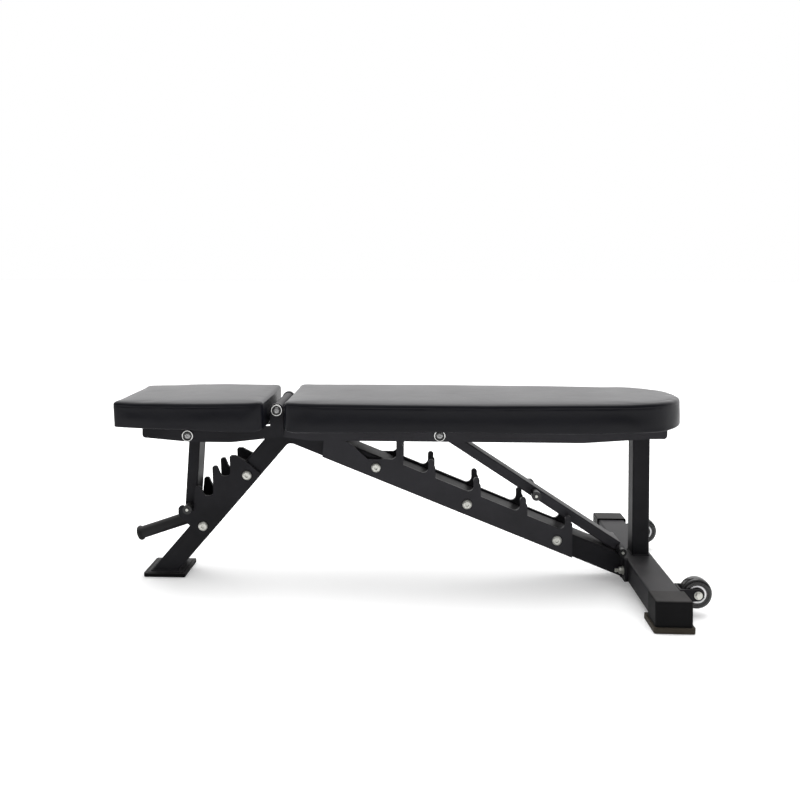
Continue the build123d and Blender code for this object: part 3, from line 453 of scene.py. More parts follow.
# %% [markdown]
# ## The pads' plan
# Each pad is a slab of firm foam on a board, bowed along its sides and rounded
# at its corners. The backrest's head end is one big round. Its plan could be
# traced point by point. Here it is made from arcs instead, so that any inset
# of it can be worked out exactly, which is what a rounded edge needs.

# %% A pad's outline at any inset
FAR = [1, -1]
smallest_corner = 4.0


def circle_through(three):
    """Centre and radius of the circle through three points, for sides that are arcs."""
    (ax, ay), (bx, by), (cx, cy) = three
    system = np.array([[bx - ax, by - ay], [cx - ax, cy - ay]]) * 2
    right = np.array([bx**2 - ax**2 + by**2 - ay**2, cx**2 - ax**2 + cy**2 - ay**2])
    x, y = np.linalg.solve(system, right)
    return x, y, math.hypot(ax - x, ay - y)


def corner_halves(pad, inset, end):
    """The two halves of a rounded corner of the near side, and the angle at which the side starts.

    A circle of the corner's radius touches both the end line and the side's arc.
    Its middle lies on the side moved inwards by that radius, and an inset only
    makes the circle smaller round the same middle.
    """
    cx, cy, big = circle_through(pad["side"])
    radius = max(pad["corners"][end], inset + smallest_corner)
    inward = 1 if end == 0 else -1
    middle_x = pad["ends"][end] + inward * radius
    middle_y = cy + math.sqrt((big - radius) ** 2 - (middle_x - cx) ** 2)
    touch = math.atan2(middle_y - cy, middle_x - cx)
    end_turn = math.pi if end == 0 else 0.0
    small = radius - inset
    halves = []
    for last in (touch, end_turn):
        t = np.linspace((touch + end_turn) / 2, last, 24)
        halves.append(np.stack([middle_x + small * np.cos(t), -(middle_y + small * np.sin(t))],
                               axis=-1))
    return halves[0], halves[1], touch


def evenly(points, count):
    """Points at equal steps of length along a line of points."""
    steps = np.hypot(*np.diff(points, axis=0).T)
    length = np.concatenate([[0], np.cumsum(steps)])
    wanted = np.linspace(0, length[-1], count + 1)
    return np.stack([np.interp(wanted, length, points[:, k]) for k in (0, 1)], axis=-1)


def plan_ring(pad, inset):
    """The outline moved inwards: near side, far end, far side and near end, in millimetres."""
    along, across = pad["columns"]
    cx, cy, big = circle_through(pad["side"])
    first, first_end, t0 = corner_halves(pad, inset, 0)
    last, last_end, t1 = corner_halves(pad, inset, 1)
    t = np.linspace(t0, t1, 400)[1:-1]
    side = np.stack([cx + (big - inset) * np.cos(t), -(cy + (big - inset) * np.sin(t))], axis=-1)
    near = evenly(np.concatenate([first, side, last[::-1]]), along)
    tail = evenly(np.concatenate([last_end, last_end[::-1] * FAR]), across)
    head = evenly(np.concatenate([first_end[:1] * FAR, first_end * FAR, first_end[::-1]]), across)
    return np.concatenate([near[:-1], tail[:-1], (near * FAR)[::-1][:-1], head[:-1]])


seat_plan = {
    "side": ((-671, 129), (-478, 155), (-315.5, 137)), "ends": (-671, -315.5),
    "corners": (10.0, 12.0), "columns": (62, 46), "body": "seat", "node": "seat_pad",
    "lift": ((0, -1.5), (0.5, 1.5), (1, 2.5)), "lean": 4.0,
    "hang": ((0, 1.0), (0.25, 0.5), (0.5, 0.0), (0.8, 6.0), (0.94, 7.5), (1, 0.5)),
}
back_plan = {
    "side": ((-272.5, 147), (90, 157), (531, 133)), "ends": (-272.5, 662.5),
    "corners": (20.0, 132.0), "columns": (156, 50), "body": "backrest", "node": "backrest_pad",
    "lift": ((0, 3.0), (0.5, 2.5), (1, 4.0)), "lean": 0.0,
    "hang": ((0, 1.0), (0.03, 7.0), (0.2, 3.5), (0.386, 0.5), (0.7, 4.5), (0.93, 2.5), (1, -2.5)),
}
for plan in (seat_plan, back_plan):
    outline = plan_ring(plan, 0)
    print(plan["node"], "outline", outline.min(0), outline.max(0))

# %% [markdown]
# ## Stuffing the pads
# A pad is foam pressed into a sewn cover, so its faces crown a little, its
# edges roll, and the seam that joins top to side draws in. A block with bevels
# never looks pulled tight. The cover is therefore blown up as cloth from a
# slightly small start, held where it is stapled to the board, and no point may
# move more than a few millimetres.

# %% Rows of the cover as (inset, height), from the board's pocket up to the top
cover_rows = [
    (20.0, 392.4), (20.0, 386.0), (20.0, 380.0), (14.0, 380.0), (8.0, 380.0), (4.6, 380.0),
    (2.9, 380.5), (2.0, 382.2), (1.7, 385.5), (1.4, 391.0), (1.2, 397.0), (1.0, 403.0),
    (0.8, 409.0), (0.5, 415.0), (0.3, 420.5), (0.1, 425.0), (0.0, 428.6), (0.0, 430.6),
    (0.0, 432.4), (0.3, 434.6), (1.3, 436.8), (3.2, 438.7), (6.0, 439.8), (10.0, 440.2),
    (16.0, 440.3),
]
held_rows = 6
seam_row = 17
shrink = 1.0
lean_reach = 0.15
print(len(cover_rows), "rows, the lowest", held_rows, "stapled")


# %% Build the cover as one closed sheet
def rise(value, start, full):
    """A straight climb from 0 at start to 1 at full and on beyond it, and 0 before start."""
    return max(0.0, (value - start) / (full - start))


def filled_patch(ring, along, across):
    """A grid inside a ring of four sides: each point is a weighted mean of opposite sides.

    S(u, v) = (1 - v) near(u) + v far(u) + (1 - u) head(v) + u tail(v), less the same
    mean of the four corners.
    """
    near, tail = ring[: along + 1], ring[along : along + across + 1]
    far = ring[along + across : 2 * along + across + 1][::-1]
    head = np.concatenate([ring[2 * along + across :], ring[:1]])[::-1]
    u = np.linspace(0, 1, along + 1)[:, None, None]
    v = np.linspace(0, 1, across + 1)[None, :, None]
    sides = (1 - v) * near[:, None] + v * far[:, None] + (1 - u) * head[None] + u * tail[None]
    corners = (1 - u) * ((1 - v) * near[0] + v * far[0]) + u * ((1 - v) * near[-1] + v * far[-1])
    return sides - corners


def patch_index(start, ring_start, along, across):
    """Vertex numbers of that grid, with its rim taken from the ring."""
    index = np.zeros((along + 1, across + 1), int)
    inner = np.arange((along - 1) * (across - 1)).reshape(along - 1, across - 1)
    index[1:-1, 1:-1] = start + inner
    index[:, 0] = ring_start + np.arange(along + 1)
    index[-1, :] = ring_start + along + np.arange(across + 1)
    index[:, -1] = ring_start + along + across + np.arange(along + 1)[::-1]
    index[0, 1:] = ring_start + 2 * along + 2 * across - np.arange(1, across + 1)
    return index


def cover_mesh(pad):
    """The cover before stuffing: rows of shrunken outlines, closed by a patch on top and below.

    The upper rows rise by the pad's lift and the lower rim hangs below the board by its
    hang, both given as pairs of a share of the pad's length and millimetres. Lean moves
    the upper edge of the seat's front end out.
    """
    along, across = pad["columns"]
    count = 2 * (along + across)
    rings = []
    for inset, height in cover_rows:
        flat = plan_ring(pad, inset + shrink * min(1.0, rise(height, 381.0, 387.0)))
        share = (flat[:, 0] - pad["ends"][0]) / (pad["ends"][1] - pad["ends"][0])
        upper = rise(height, 400.0, 440.0)
        under = min(1.0, rise(height, 410.0, 382.0)) * min(1.0, rise(inset, 20.0, 6.0))
        z = height - shrink * upper + upper * np.interp(share, *zip(*pad["lift"]))
        z = z - under * np.interp(share, *zip(*pad["hang"]))
        front = np.clip(1 - share / lean_reach, 0, 1)
        flat[:, 0] -= pad["lean"] * rise(height, 380.0, 440.0) * front
        rings.append(np.concatenate([flat, z[:, None]], axis=1))
    rings = np.array(rings) * MM
    index = np.arange(rings.shape[0] * count).reshape(rings.shape[0], count).T
    wall = grid_faces(np.vstack([index, index[:1]]))
    top = filled_patch(rings[-1], along, across)
    pocket = filled_patch(rings[0], along, across)
    start = rings.shape[0] * count
    inner = (along - 1) * (across - 1)
    top_faces = grid_faces(patch_index(start, start - count, along, across))
    pocket_faces = grid_faces(patch_index(start + inner, 0, along, across), flip=True)
    points = np.concatenate([rings.reshape(-1, 3), top[1:-1, 1:-1].reshape(-1, 3),
                             pocket[1:-1, 1:-1].reshape(-1, 3)])
    faces = np.concatenate([wall, top_faces, pocket_faces])
    held = np.concatenate([np.arange(held_rows * count),
                           np.arange(start + inner, start + 2 * inner)])
    return mesh_from(pad["node"] + "_cover", points, faces), held, count


# %% Read and write a mesh's vertices as whole arrays
def vertex_array(mesh, what):
    """The vertices' places ("co") or normals ("normal") as an array."""
    flat = np.zeros(len(mesh.vertices) * 3, np.float32)
    mesh.vertices.foreach_get(what, flat)
    return flat.reshape(-1, 3).astype(float)


def set_points(mesh, points):
    """Writes an array of vertex places back into a mesh."""
    mesh.vertices.foreach_set("co", points.astype(np.float32).ravel())
    mesh.update()


# %% Stuff the cover
def evened(mesh, values, fixed, rounds):
    """Values after each free vertex moved halfway to its neighbours' mean, rounds times."""
    pairs = np.zeros(len(mesh.edges) * 2, np.int32)
    mesh.edges.foreach_get("vertices", pairs)
    pairs = pairs.reshape(-1, 2)
    values = values.copy()
    share = np.where(fixed, 0.0, 0.5)[:, None]
    degree = np.bincount(pairs.ravel(), minlength=len(values))[:, None]
    for _ in range(rounds):
        total = np.zeros_like(values)
        for k in range(3):
            total[:, k] = np.bincount(pairs[:, 0], values[pairs[:, 1], k], len(values))
            total[:, k] += np.bincount(pairs[:, 1], values[pairs[:, 0], k], len(values))
        values += share * (total / degree - values)
    return values


def stuff(piece, held, push, limit, steps=20, crispness=0.45):
    """Blows the cover up as cloth for some steps, and keeps each point within limit of its start.

    The move is smoothed broadly, and a share of its finer detail, its crispness, is put back.
    """
    scene = bpy.context.scene
    group = piece.vertex_groups.new(name="stapled")
    group.add([int(k) for k in held], 1.0, "REPLACE")
    cloth = piece.modifiers.new("stuffing", "CLOTH")
    cloth.settings.use_pressure = True
    cloth.settings.uniform_pressure_force = push
    cloth.settings.effector_weights.gravity = 0.0
    cloth.settings.vertex_group_mass = "stapled"
    cloth.point_cache.frame_start, cloth.point_cache.frame_end = 1, steps
    start = vertex_array(piece.data, "co")
    for step in range(1, steps + 1):
        scene.frame_set(step)
    shown = piece.evaluated_get(bpy.context.evaluated_depsgraph_get())
    moved = vertex_array(shown.data, "co") - start
    piece.modifiers.remove(cloth)
    scene.frame_set(1)
    far = np.linalg.norm(moved, axis=1, keepdims=True)
    moved *= np.minimum(1.0, limit / np.maximum(far, 1e-9))
    fixed = np.zeros(len(start), bool)
    fixed[held] = True
    broad = evened(piece.data, moved, fixed, 60)
    fine = evened(piece.data, moved, fixed, 4)
    set_points(piece.data, start + broad + crispness * (fine - broad))
    print(piece.name, "swelled by", round(float(far.max()) / MM, 1), "mm before the limit")


# %% Seams, puckers and the finished cover
def draw_in_seam(mesh, pad, count, seed):
    """Pulls the seam's row in, rolls the rows beside it out, and gathers small puckers along it.

    A point at row r moves along its normal by pull(r) times slow(column), plus
    pucker(column) times a bell round the seam, where pucker is a sum of sines,
    stronger on the corners.
    """
    draw = np.random.default_rng(seed)
    columns = np.arange(count) / count
    waves = sum(
        draw.uniform(0.3, 1.0) * np.sin(2 * np.pi * (turns * columns + draw.uniform()))
        for turns in (61, 83, 97, 131, 157)
    )
    ring = plan_ring(pad, 0.0)
    turn = np.roll(ring, -1, 0) - 2 * ring + np.roll(ring, 1, 0)
    bend = np.minimum(1.0, np.linalg.norm(turn, axis=1) / 0.6)
    pucker = waves * (0.05 + 0.16 * bend)
    rows = np.arange(len(cover_rows))[:, None] - seam_row
    slow = 0.5 + 0.5 * (np.sin(2 * np.pi * (9 * columns + draw.uniform()))
                        * np.sin(2 * np.pi * (14 * columns + draw.uniform())))
    pull = np.where(rows == 0, -0.75, 0.0) + np.where(np.abs(rows) == 1, 0.25, 0.0)
    bell = np.exp(-((rows / 2.6) ** 2)) * np.where(rows > 0, 0.8, 1.0)
    shift = (pull * slow[None, :] + bell * pucker[None, :]) * MM
    points, normals = vertex_array(mesh, "co"), vertex_array(mesh, "normal")
    band = slice(0, len(cover_rows) * count)
    points[band] += normals[band] * shift.reshape(-1, 1)
    set_points(mesh, points)


def cover(pad, seed):
    """A finished pad: built, stuffed, seamed and divided once."""
    mesh, held, count = cover_mesh(pad)
    piece = bpy.data.objects.new(pad["node"] + "_cover", mesh)
    bpy.context.scene.collection.objects.link(piece)
    stuff(piece, held, push=3.0, limit=3.0 * MM)
    draw_in_seam(mesh, pad, count, seed)
    finer = piece.modifiers.new("finer", "SUBSURF")
    finer.levels = finer.render_levels = 1
    mesh.materials.append(vinyl)
    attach(piece, pad["body"])
    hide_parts(pad["node"])
    return piece


# %% [markdown]
# ## Vinyl
# The cover is a smooth upholstery vinyl. Up close it has a very fine hide
# grain, and the top is burnished where people lie. It could be one glossy
# black, but then it would look wet. Instead a fine cell pattern breaks the
# light, the gloss drifts in patches, and a thin film of chalk dust lies on top.

# %% The vinyl material
hide_group, ins, outs = open_group(
    "hide_grain",
    [("Place", VECTOR, None), ("Cells per Metre", FLOAT, 850.0)],
    [("Height", FLOAT), ("Creases", FLOAT)],
)
where = ins.outputs["Place"]
cells = add(hide_group, "TexVoronoi",
            [(where, "Vector"), (ins.outputs["Cells per Metre"], "Scale")],
            feature="DISTANCE_TO_EDGE")
soft = add(hide_group, "MapRange", [(cells.outputs["Distance"], "Value")],
           From_Min=0.0, From_Max=0.35)
folds = add(hide_group, "TexNoise", [(where, "Vector")], Scale=26.0, Detail=5.0, Roughness=0.5)
hide_group.links.new(soft.outputs[0], outs.inputs["Height"])
hide_group.links.new(folds.outputs["Fac"], outs.inputs["Creases"])

vinyl = finish("black_vinyl", (0.0046, 0.0047, 0.0072), 0.32, specular=0.19, drift=0.2,
               grain=900.0, grain_depth=0.02, patches=5.0, dust=0.05, gloss_drift=0.05)
tree = vinyl.node_tree
place = add(tree, "TexCoord")
hide = add(tree, "Group", node_tree=hide_group)
tree.links.new(place.outputs["Object"], hide.inputs["Place"])
pores = add(tree, "Bump", [(hide.outputs["Height"], "Height")], Strength=0.35, Distance=0.00004)
rolls = add(tree, "Bump",
            [(hide.outputs["Creases"], "Height"), (pores.outputs["Normal"], "Normal")],
            Strength=0.6, Distance=0.0009)
tree.links.new(rolls.outputs["Normal"], tree.nodes["Principled BSDF"].inputs["Normal"])
print("vinyl ready")

# %% Both pads
seat_cover = cover(seat_plan, 11)
back_cover = cover(back_plan, 12)
print(seat_cover.name, back_cover.name)

# %% [markdown]
# ## Bolts through the ladder plates
# Three bolts hold the backrest's ladder plates to the spine, and two hold the
# seat's to the front leg. The heads are low buttons with a hexagon socket. A
# plain disc would do from afar, but the socket and the rolled rim are what a
# close look finds, so each bolt is one turned profile, whose rows change from
# circles to hexagons.

# %% The frame's two sloping middle lines
spine_slope = math.radians(21.5)
leg_slope = math.radians(49.3)
apex_x, apex_z = -280.1, 357.4
half_tube = 25.0


def on_spine(x):
    """Place on the spine tube's middle line at x, in millimetres."""
    return x, apex_z - (x - apex_x) * math.tan(spine_slope)


def on_leg(z):
    """Place on the front leg's middle line at height z, in millimetres."""
    return apex_x - (apex_z - z) / math.tan(leg_slope), z


print("lines from the apex at", apex_x, apex_z)

# %% Ladder bolts and nuts
bolt_places = [on_spine(x) for x in (-62, 155, 367)] + [on_leg(z) for z in (249, 124)]
bolt_rows = [
    (-51.0, 4.8, 0), (-50.2, 5.8, 0), (46.0, 5.8, 0), (46.0, 11.3, 0), (46.5, 11.6, 0),
    (47.6, 11.6, 0), (48.8, 11.2, 0), (50.0, 10.2, 0), (50.9, 8.8, 0), (51.4, 7.4, 0),
    (51.5, 6.2, 0), (51.4, 4.6, 1), (51.1, 4.3, 1), (48.6, 4.2, 1), (48.4, 0.3, 1),
]
nut_rows = [
    (46.0, 11.4, 0), (47.0, 11.5, 0), (47.6, 11.0, 0), (48.0, 10.6, 1), (53.8, 10.6, 1),
    (54.6, 9.9, 0.6), (55.4, 8.6, 0), (56.0, 7.6, 0), (56.0, 6.3, 0), (55.2, 5.9, 0),
    (51.6, 5.9, 0), (51.6, 0.3, 0),
]
leans = np.random.default_rng(7).uniform(0, np.pi / 3, 64)
ladder_spots = [(x * MM, 0, z * MM) for x, z in bolt_places]
put("ladder_bolt_heads",
    [turned(bolt_rows, at, -1, lean=leans[k]) for k, at in enumerate(ladder_spots)],
    "frame", zinc, ["ladder_bolts"])
put("ladder_bolt_nuts",
    [turned(nut_rows, at, 1, lean=leans[8 + k]) for k, at in enumerate(ladder_spots)],
    "frame", zinc, ["ladder_nuts"])

# %% [markdown]
# ## Pivots
# Each pivot ends in a bright ring round a dark well, with a button screw in
# the middle. One flat disc would lose that target look, so ring, well and
# screw are three pieces in three finishes.

# %% Rings, wells and screws
ring_rows = [
    (0.0, 10.4, 0), (0.0, 13.1, 0), (3.2, 13.3, 0), (3.8, 13.0, 0), (4.0, 12.4, 0),
    (4.0, 11.4, 0), (3.7, 10.9, 0), (3.0, 10.6, 0),
]
well_depth = 1.7
well_rows = [
    (0.0, 0.4, 0), (0.0, 10.55, 0), (1.4, 10.55, 0), (well_depth, 9.0, 0), (well_depth, 0.4, 0),
]
button_rows = [
    (0.8, 7.2, 0), (1.7, 6.2, 0), (2.1, 4.6, 0), (2.1, 3.0, 1), (1.9, 2.8, 1), (0.5, 2.7, 1),
    (0.5, 0.3, 1),
]
dull_steel = finish("dull_pivot_steel", (0.30, 0.30, 0.30), 0.34, metal=0.9,
                    grain=1800.0, grain_depth=0.01, patches=70.0, marks=0.6)
pivots = {
    "hinge": (-292.5, 416.0, 93.6, "frame"),
    "seat_prop": (-503.5, 354.0, 93.5, "seat"),
    "back_prop": (88.5, 358.7, 88.0, "backrest"),
}
for k, (name, (x, z, face, body)) in enumerate(pivots.items()):
    ends = [(side, (x * MM, side * face * MM, z * MM)) for side in (-1, 1)]
    put(name + "_bright_rings", [turned(ring_rows, at, side, 64) for side, at in ends],
        body, nickel, [name + "_rings"], looped=True)
    put(name + "_wells", [turned(well_rows, at, side, 64) for side, at in ends],
        body, cap_plastic)
    reach = face + well_depth
    button = [(reach + out, radius, hexagon) for out, radius, hexagon in button_rows]
    shaft_rows = [(1.0 - reach, 7.9, 0), (reach - 1.0, 7.9, 0), (reach - 0.2, 7.9, 0),
                  (reach - 0.2, 7.3, 0)] + button
    cap_rows = [(reach - 1.2, 7.3, 0)] + button
    middle = (x * MM, 0, z * MM)
    put(name + "_shaft_and_screws",
        [turned(shaft_rows, middle, -1, lean=leans[20 + k]),
         turned(cap_rows, middle, 1, lean=leans[30 + k])],
        body, dull_steel, [name + "_shaft"])

# %% [markdown]
# ## Wheels
# The transport wheels are hard rubber tyres on nylon hubs, with a silver ring
# at each side. A cylinder with a bevel looks like a coin. The tyre here is a
# closed profile turned about the axle, with a crowned tread and a moulded
# groove on each wall.

# %% Tyres, rings and axles
wheel_sides = {"near": -1, "far": 1}
wheel_spots = {name: (637.5 * MM, side * 205 * MM, 48.5 * MM)
               for name, side in wheel_sides.items()}
half_tyre = [
    (13.0, 19.6), (13.2, 21.0), (13.2, 23.0), (12.7, 23.6), (12.7, 24.3), (13.1, 24.9),
    (12.9, 27.2), (12.0, 29.6), (10.2, 31.6), (7.6, 32.9), (4.4, 33.4), (1.4, 33.5),
]
tyre_rows = [(-out, radius, 0) for out, radius in half_tyre]
tyre_rows += [(out, radius, 0) for out, radius in half_tyre[::-1]]
rim_rows = [
    (9.9, 15.0, 0), (11.8, 15.0, 0), (12.5, 15.5, 0), (12.8, 16.6, 0), (12.8, 18.2, 0),
    (12.5, 19.2, 0), (11.8, 19.5, 0), (9.9, 19.5, 0),
]
axle_rows = [
    (-28.5, 3.2, 0), (-27.7, 3.9, 0), (18.5, 3.9, 0), (18.5, 9.0, 0), (19.8, 9.0, 0),
    (20.0, 8.6, 0), (20.0, 7.0, 1), (23.0, 7.0, 1), (23.9, 6.2, 0.4), (24.1, 5.2, 0),
    (24.1, 0.3, 0),
]
for name, side in wheel_sides.items():
    at, body = wheel_spots[name], "wheel_" + name
    put("tyre_" + name + "_turned", [turned(tyre_rows, at, side, 96)],
        body, tyre_rubber, ["tyre_" + name], looped=True)
    put("rim_" + name + "_turned", [turned(rim_rows, at, way, 80) for way in (side, -side)],
        body, rim_steel, ["rim_rings_" + name], looped=True)
put("wheel_axle_bolts",
    [turned(axle_rows, wheel_spots[name], side, lean=leans[40])
     for name, side in wheel_sides.items()],
    "frame", zinc, ["wheel_axles"])

# %% [markdown]
# ## Grip and flange studs
# These lie along other directions, so a second helper carries the same kind of
# profile along any axis that is level in Y. The grip has a rolled end with a
# small plug, and the studs through the flange show their thread.


# %% Profiles along any axis in the bench's middle plane
def carried(rows, start, direction, around=48, lean=0.0):
    """A profile's rings on the axis start + out * direction, with start in millimetres."""
    out, radius, t = profile(rows, around, lean)
    axis = np.asarray(direction, float)
    across = np.array([0.0, 1.0, 0.0])
    third = np.cross(across, axis)
    ring = np.cos(t)[None, :, None] * across + np.sin(t)[None, :, None] * third
    return np.asarray(start, float) * MM + out[..., None] * axis + radius[..., None] * ring


handle_slope = math.radians(18.8)
handle_z = 141.0
handle_axis = (-math.cos(handle_slope), 0.0, -math.sin(handle_slope))
handle_root = (on_leg(handle_z)[0] - half_tube / math.sin(leg_slope), 0.0, handle_z)
grip_radius, rib_depth, rib_pitch = 15.0, 0.22, 3.2
ribs_out = np.linspace(38.5, 149.0, 112)
grip_rows = [(36.0, 11.1, 0), (36.0, 14.0, 0), (36.6, 14.7, 0), (37.6, grip_radius, 0)]
grip_rows += [(out, grip_radius - rib_depth * abs(math.sin(math.pi * out / rib_pitch)), 0)
              for out in ribs_out]
grip_rows += [
    (150.5, grip_radius, 0), (153.0, 15.8, 0), (154.6, 17.2, 0), (156.0, 17.9, 0),
    (158.6, 18.0, 0), (160.6, 17.5, 0), (162.2, 16.2, 0), (163.3, 14.0, 0), (163.9, 11.0, 0),
    (164.0, 6.0, 0), (163.8, 3.4, 0), (163.0, 3.2, 0), (163.0, 0.3, 0),
]
plug_rows = [(162.0, 3.1, 0), (163.8, 3.1, 0), (164.4, 2.6, 0), (164.6, 1.6, 0), (164.6, 0.2, 0)]
put("handle_grip_moulded", [carried(grip_rows, handle_root, handle_axis, 72)],
    "frame", grip_rubber, ["handle_grip"])
put("handle_end_plug", [carried(plug_rows, handle_root, handle_axis, 32)],
    "frame", zinc)

# %% Studs, washers and nuts on the flange
beam_x, beam_width, flange_thickness = 564, 69, 8
flange_face = beam_x - beam_width / 2 - flange_thickness
rear_face = beam_x + beam_width / 2
stud_z, stud_sides = 37.0, (-53.0, 53.0)
pitch = 0.8
thread_out = np.arange(9.0, 19.2, pitch / 2)
stud_rows = [(flange_face - rear_face, 4.9, 0), (8.6, 4.9, 0)]
stud_rows += [(out, 4.95 if k % 2 else 4.45, 0) for k, out in enumerate(thread_out)]
stud_rows += [(19.6, 4.2, 0), (20.0, 3.6, 0), (20.0, 0.3, 0)]
flange_nut_rows = [
    (2.5, 5.2, 0), (2.5, 8.4, 1), (3.0, 8.7, 1), (9.6, 8.7, 1), (10.5, 7.6, 0.3), (10.5, 5.6, 0),
    (10.1, 5.1, 0),
]
washer_rows = [
    (0.0, 5.2, 0), (0.0, 10.3, 0), (0.6, 10.6, 0), (1.9, 10.6, 0), (2.5, 10.2, 0), (2.5, 5.2, 0),
]
rear_head_rows = [(0.0, 0.3, 0), (0.0, 8.6, 1), (6.6, 8.7, 1), (7.5, 7.6, 0.3), (7.5, 0.3, 0)]
forward, backward = (-1, 0, 0), (1, 0, 0)
put("flange_studs",
    [carried(stud_rows, (flange_face, y, stud_z), forward, 32) for y in stud_sides]
    + [carried(rear_head_rows, (rear_face, y, stud_z), backward, lean=leans[50])
       for y in stud_sides],
    "frame", zinc, ["flange_bolts"])
put("flange_nuts_and_washers",
    [carried(rows, (flange_face, y, stud_z), forward, lean=leans[52 + k])
     for k, rows in enumerate((flange_nut_rows, washer_rows)) for y in stud_sides],
    "frame", zinc, ["flange_nuts"], looped=True)

# %% [markdown]
# ## Weld beads
# Where tubes meet, the real frame shows a rippled bead under the paint. It
# could be a bump in the material, but it would have no outline. Here a small
# round profile follows each joint's loop, and its size pulses with the
# welder's steps.


# %% Beads along closed loops
def rounded_loop(width, depth, corner, count=240):
    """A rounded rectangle in its own plane, at equal steps, in millimetres."""
    t = np.linspace(0, np.pi / 2, 10)
    corners = []
    for k, (sx, sy) in enumerate(((1, 1), (-1, 1), (-1, -1), (1, -1))):
        turn = t + k * np.pi / 2
        corners.append(np.stack([sx * (width / 2 - corner) + corner * np.cos(turn),
                                 sy * (depth / 2 - corner) + corner * np.sin(turn)], axis=-1))
    loop = np.concatenate(corners + [corners[0][:1]])
    return evenly(loop, count)[:-1]


def laid(loop, centre, first, second):
    """A flat loop placed at centre along two directions."""
    first, second = np.asarray(first, float), np.asarray(second, float)
    return np.asarray(centre, float) + loop[:, :1] * first + loop[:, 1:] * second


def bead(loop, radius, seed):
    """Rings round a flat closed loop of points in millimetres; the radius pulses each 4 mm.

    A ring lies in the plane of the loop's normal and of its own side, which is the
    tangent crossed with that normal.
    """
    tangent = np.roll(loop, -1, 0) - np.roll(loop, 1, 0)
    step = np.linalg.norm(tangent, axis=1, keepdims=True)
    tangent = tangent / step
    normal = np.cross(loop[0] - loop.mean(0), loop[len(loop) // 4] - loop.mean(0))
    normal = normal / np.linalg.norm(normal)
    side = np.cross(tangent, normal)
    length = np.cumsum(step[:, 0] / 2)
    wobble = np.random.default_rng(seed).uniform(0, 6.28, 2)
    size = radius * (1 + 0.12 * np.sin(2 * np.pi * length / 4.0 + wobble[0])
                     + 0.08 * np.sin(length / 17.0 + wobble[1]))
    t = np.linspace(0, 2 * np.pi, 10, endpoint=False)
    ring = np.cos(t)[None, :, None] * side[:, None] + np.sin(t)[None, :, None] * normal
    return (loop[:, None] + size[:, None, None] * ring) * MM


along_x, along_y, along_z = (1, 0, 0), (0, 1, 0), (0, 0, 1)
up_leg = (math.cos(leg_slope), 0, math.sin(leg_slope))
tube_depth = 2 * half_tube
leg_cut = tube_depth / math.sin(leg_slope) + 1
spine_cut = tube_depth / math.cos(spine_slope) + 1
handle_width = 23
handle_cut = handle_width / math.cos(math.pi / 2 - leg_slope - handle_slope)
post_weld = laid(rounded_loop(41, 47, 5), (570, 0, 62.4), along_x, along_y)
foot_weld = laid(rounded_loop(leg_cut, 77, 5), (on_leg(10.5)[0], 0, 10.6), along_x, along_y)
flange_weld = laid(rounded_loop(77, spine_cut, 5),
                   (flange_face - 0.4, 0, on_spine(flange_face)[1]), along_y, along_z)
handle_weld = laid(rounded_loop(handle_width, handle_cut, 11), handle_root, along_y, up_leg)
put("weld_beads",
    [bead(post_weld, 2.0, 1), bead(foot_weld, 2.0, 2), bead(flange_weld, 2.0, 3),
     bead(handle_weld, 1.8, 4)],
    "frame", black_coat, looped=True)

# %% [markdown]
# ## Gusset under the apex
# The corner between the leg and the spine is filled with a small rounded
# gusset. A bevel on the joint would round the wrong edge, because the two
# tubes are separate parts, so the fillet's section is worked out from their
# two faces and carried across the frame.


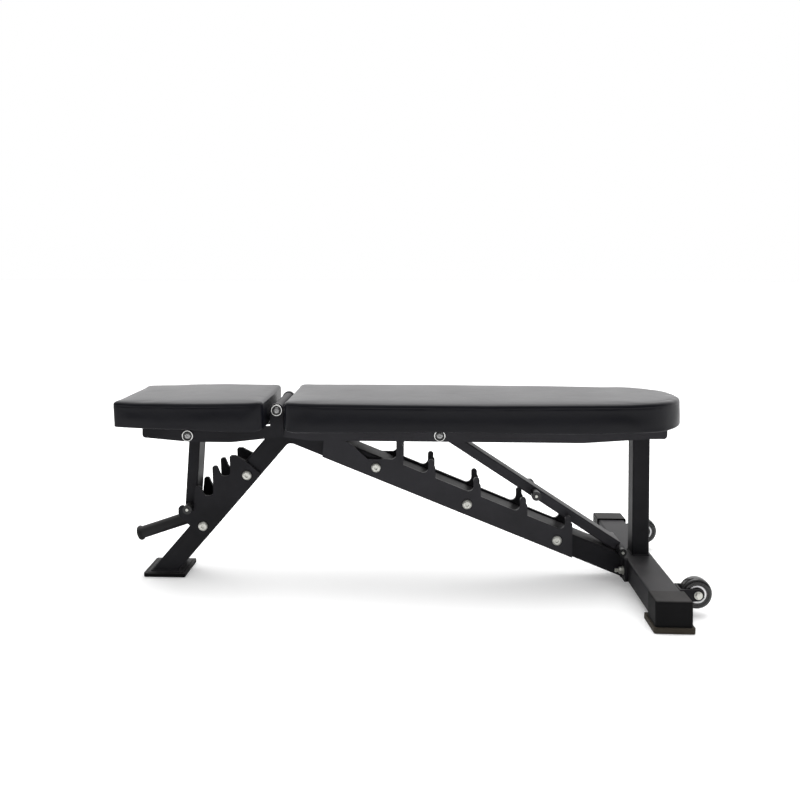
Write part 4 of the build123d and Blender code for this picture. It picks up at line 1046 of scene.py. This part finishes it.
# %% The rounded gusset
def corner_fill(radius, half_width, count=14):
    """Two end rings of a fillet between the leg's rear face and the spine's underside.

    The fillet's middle is radius away from both faces; its section runs from their
    crossing to one foot of that middle, round the arc, and back from the other foot.
    """
    spine_way = np.array([math.cos(spine_slope), -math.sin(spine_slope)])
    spine_down = np.array([-math.sin(spine_slope), -math.cos(spine_slope)])
    leg_way = np.array([-math.cos(leg_slope), -math.sin(leg_slope)])
    leg_rear = np.array([math.sin(leg_slope), -math.cos(leg_slope)])
    apex = np.array([apex_x, apex_z])
    under_spine = apex + half_tube * spine_down
    ways = np.array([spine_way, -leg_way]).T
    along = np.linalg.solve(ways, apex + half_tube * leg_rear - under_spine)
    crossing = under_spine + along[0] * spine_way
    between = (spine_way + leg_way) / np.linalg.norm(spine_way + leg_way)
    half = math.acos(float(spine_way @ leg_way)) / 2
    foot = radius / math.tan(half)
    middle = crossing + between * radius / math.sin(half)
    first, last = crossing + foot * leg_way, crossing + foot * spine_way
    share = np.linspace(0, 1, count)[:, None]
    arc = first + (last - first) * share - middle
    arc = middle + radius * arc / np.linalg.norm(arc, axis=1, keepdims=True)
    section = np.concatenate([[crossing - 2.0 * between], arc])
    ends = [np.stack([section[:, 0], np.full(len(section), y), section[:, 1]], axis=-1)
            for y in (-half_width, half_width)]
    return np.stack(ends) * MM


put("apex_gusset", [corner_fill(radius=13.0, half_width=37.5)], "frame", black_coat)

# %% [markdown]
# ## Floor
# A white sheet of paper under the bench catches a soft shadow. Paper alone
# would come out grey beside the white behind it, so the camera also sees a
# faint glow on it, which lights nothing else.

# %% Floor
floor_reach, floor_height, floor_glow = 30, -0.0006, 0.22
pale_floor = finish("studio_floor", (0.86, 0.86, 0.86), 0.75, specular=0.1,
                    grain=40.0, grain_depth=0.2, drift=0.01, patches=0.8)
tree = pale_floor.node_tree
seen = add(tree, "LightPath")
glow = add(tree, "Math", [(seen.outputs["Is Camera Ray"], 0)], operation="MULTIPLY")
glow.inputs[1].default_value = floor_glow
shader = tree.nodes["Principled BSDF"]
shader.inputs["Emission Color"].default_value = WHITE
tree.links.new(glow.outputs[0], shader.inputs["Emission Strength"])
floor_corners = np.array([[x * floor_reach, y * floor_reach, floor_height]
                          for x, y in ((-1, -1), (1, -1), (1, 1), (-1, 1))])
floor_mesh = mesh_from("studio_floor", floor_corners, np.array([[0, 1, 2, 3]]))
floor_mesh.materials.append(pale_floor)
floor = bpy.data.objects.new("studio_floor", floor_mesh)
bpy.context.scene.collection.objects.link(floor)
print("floor", 2 * floor_reach, "m across")
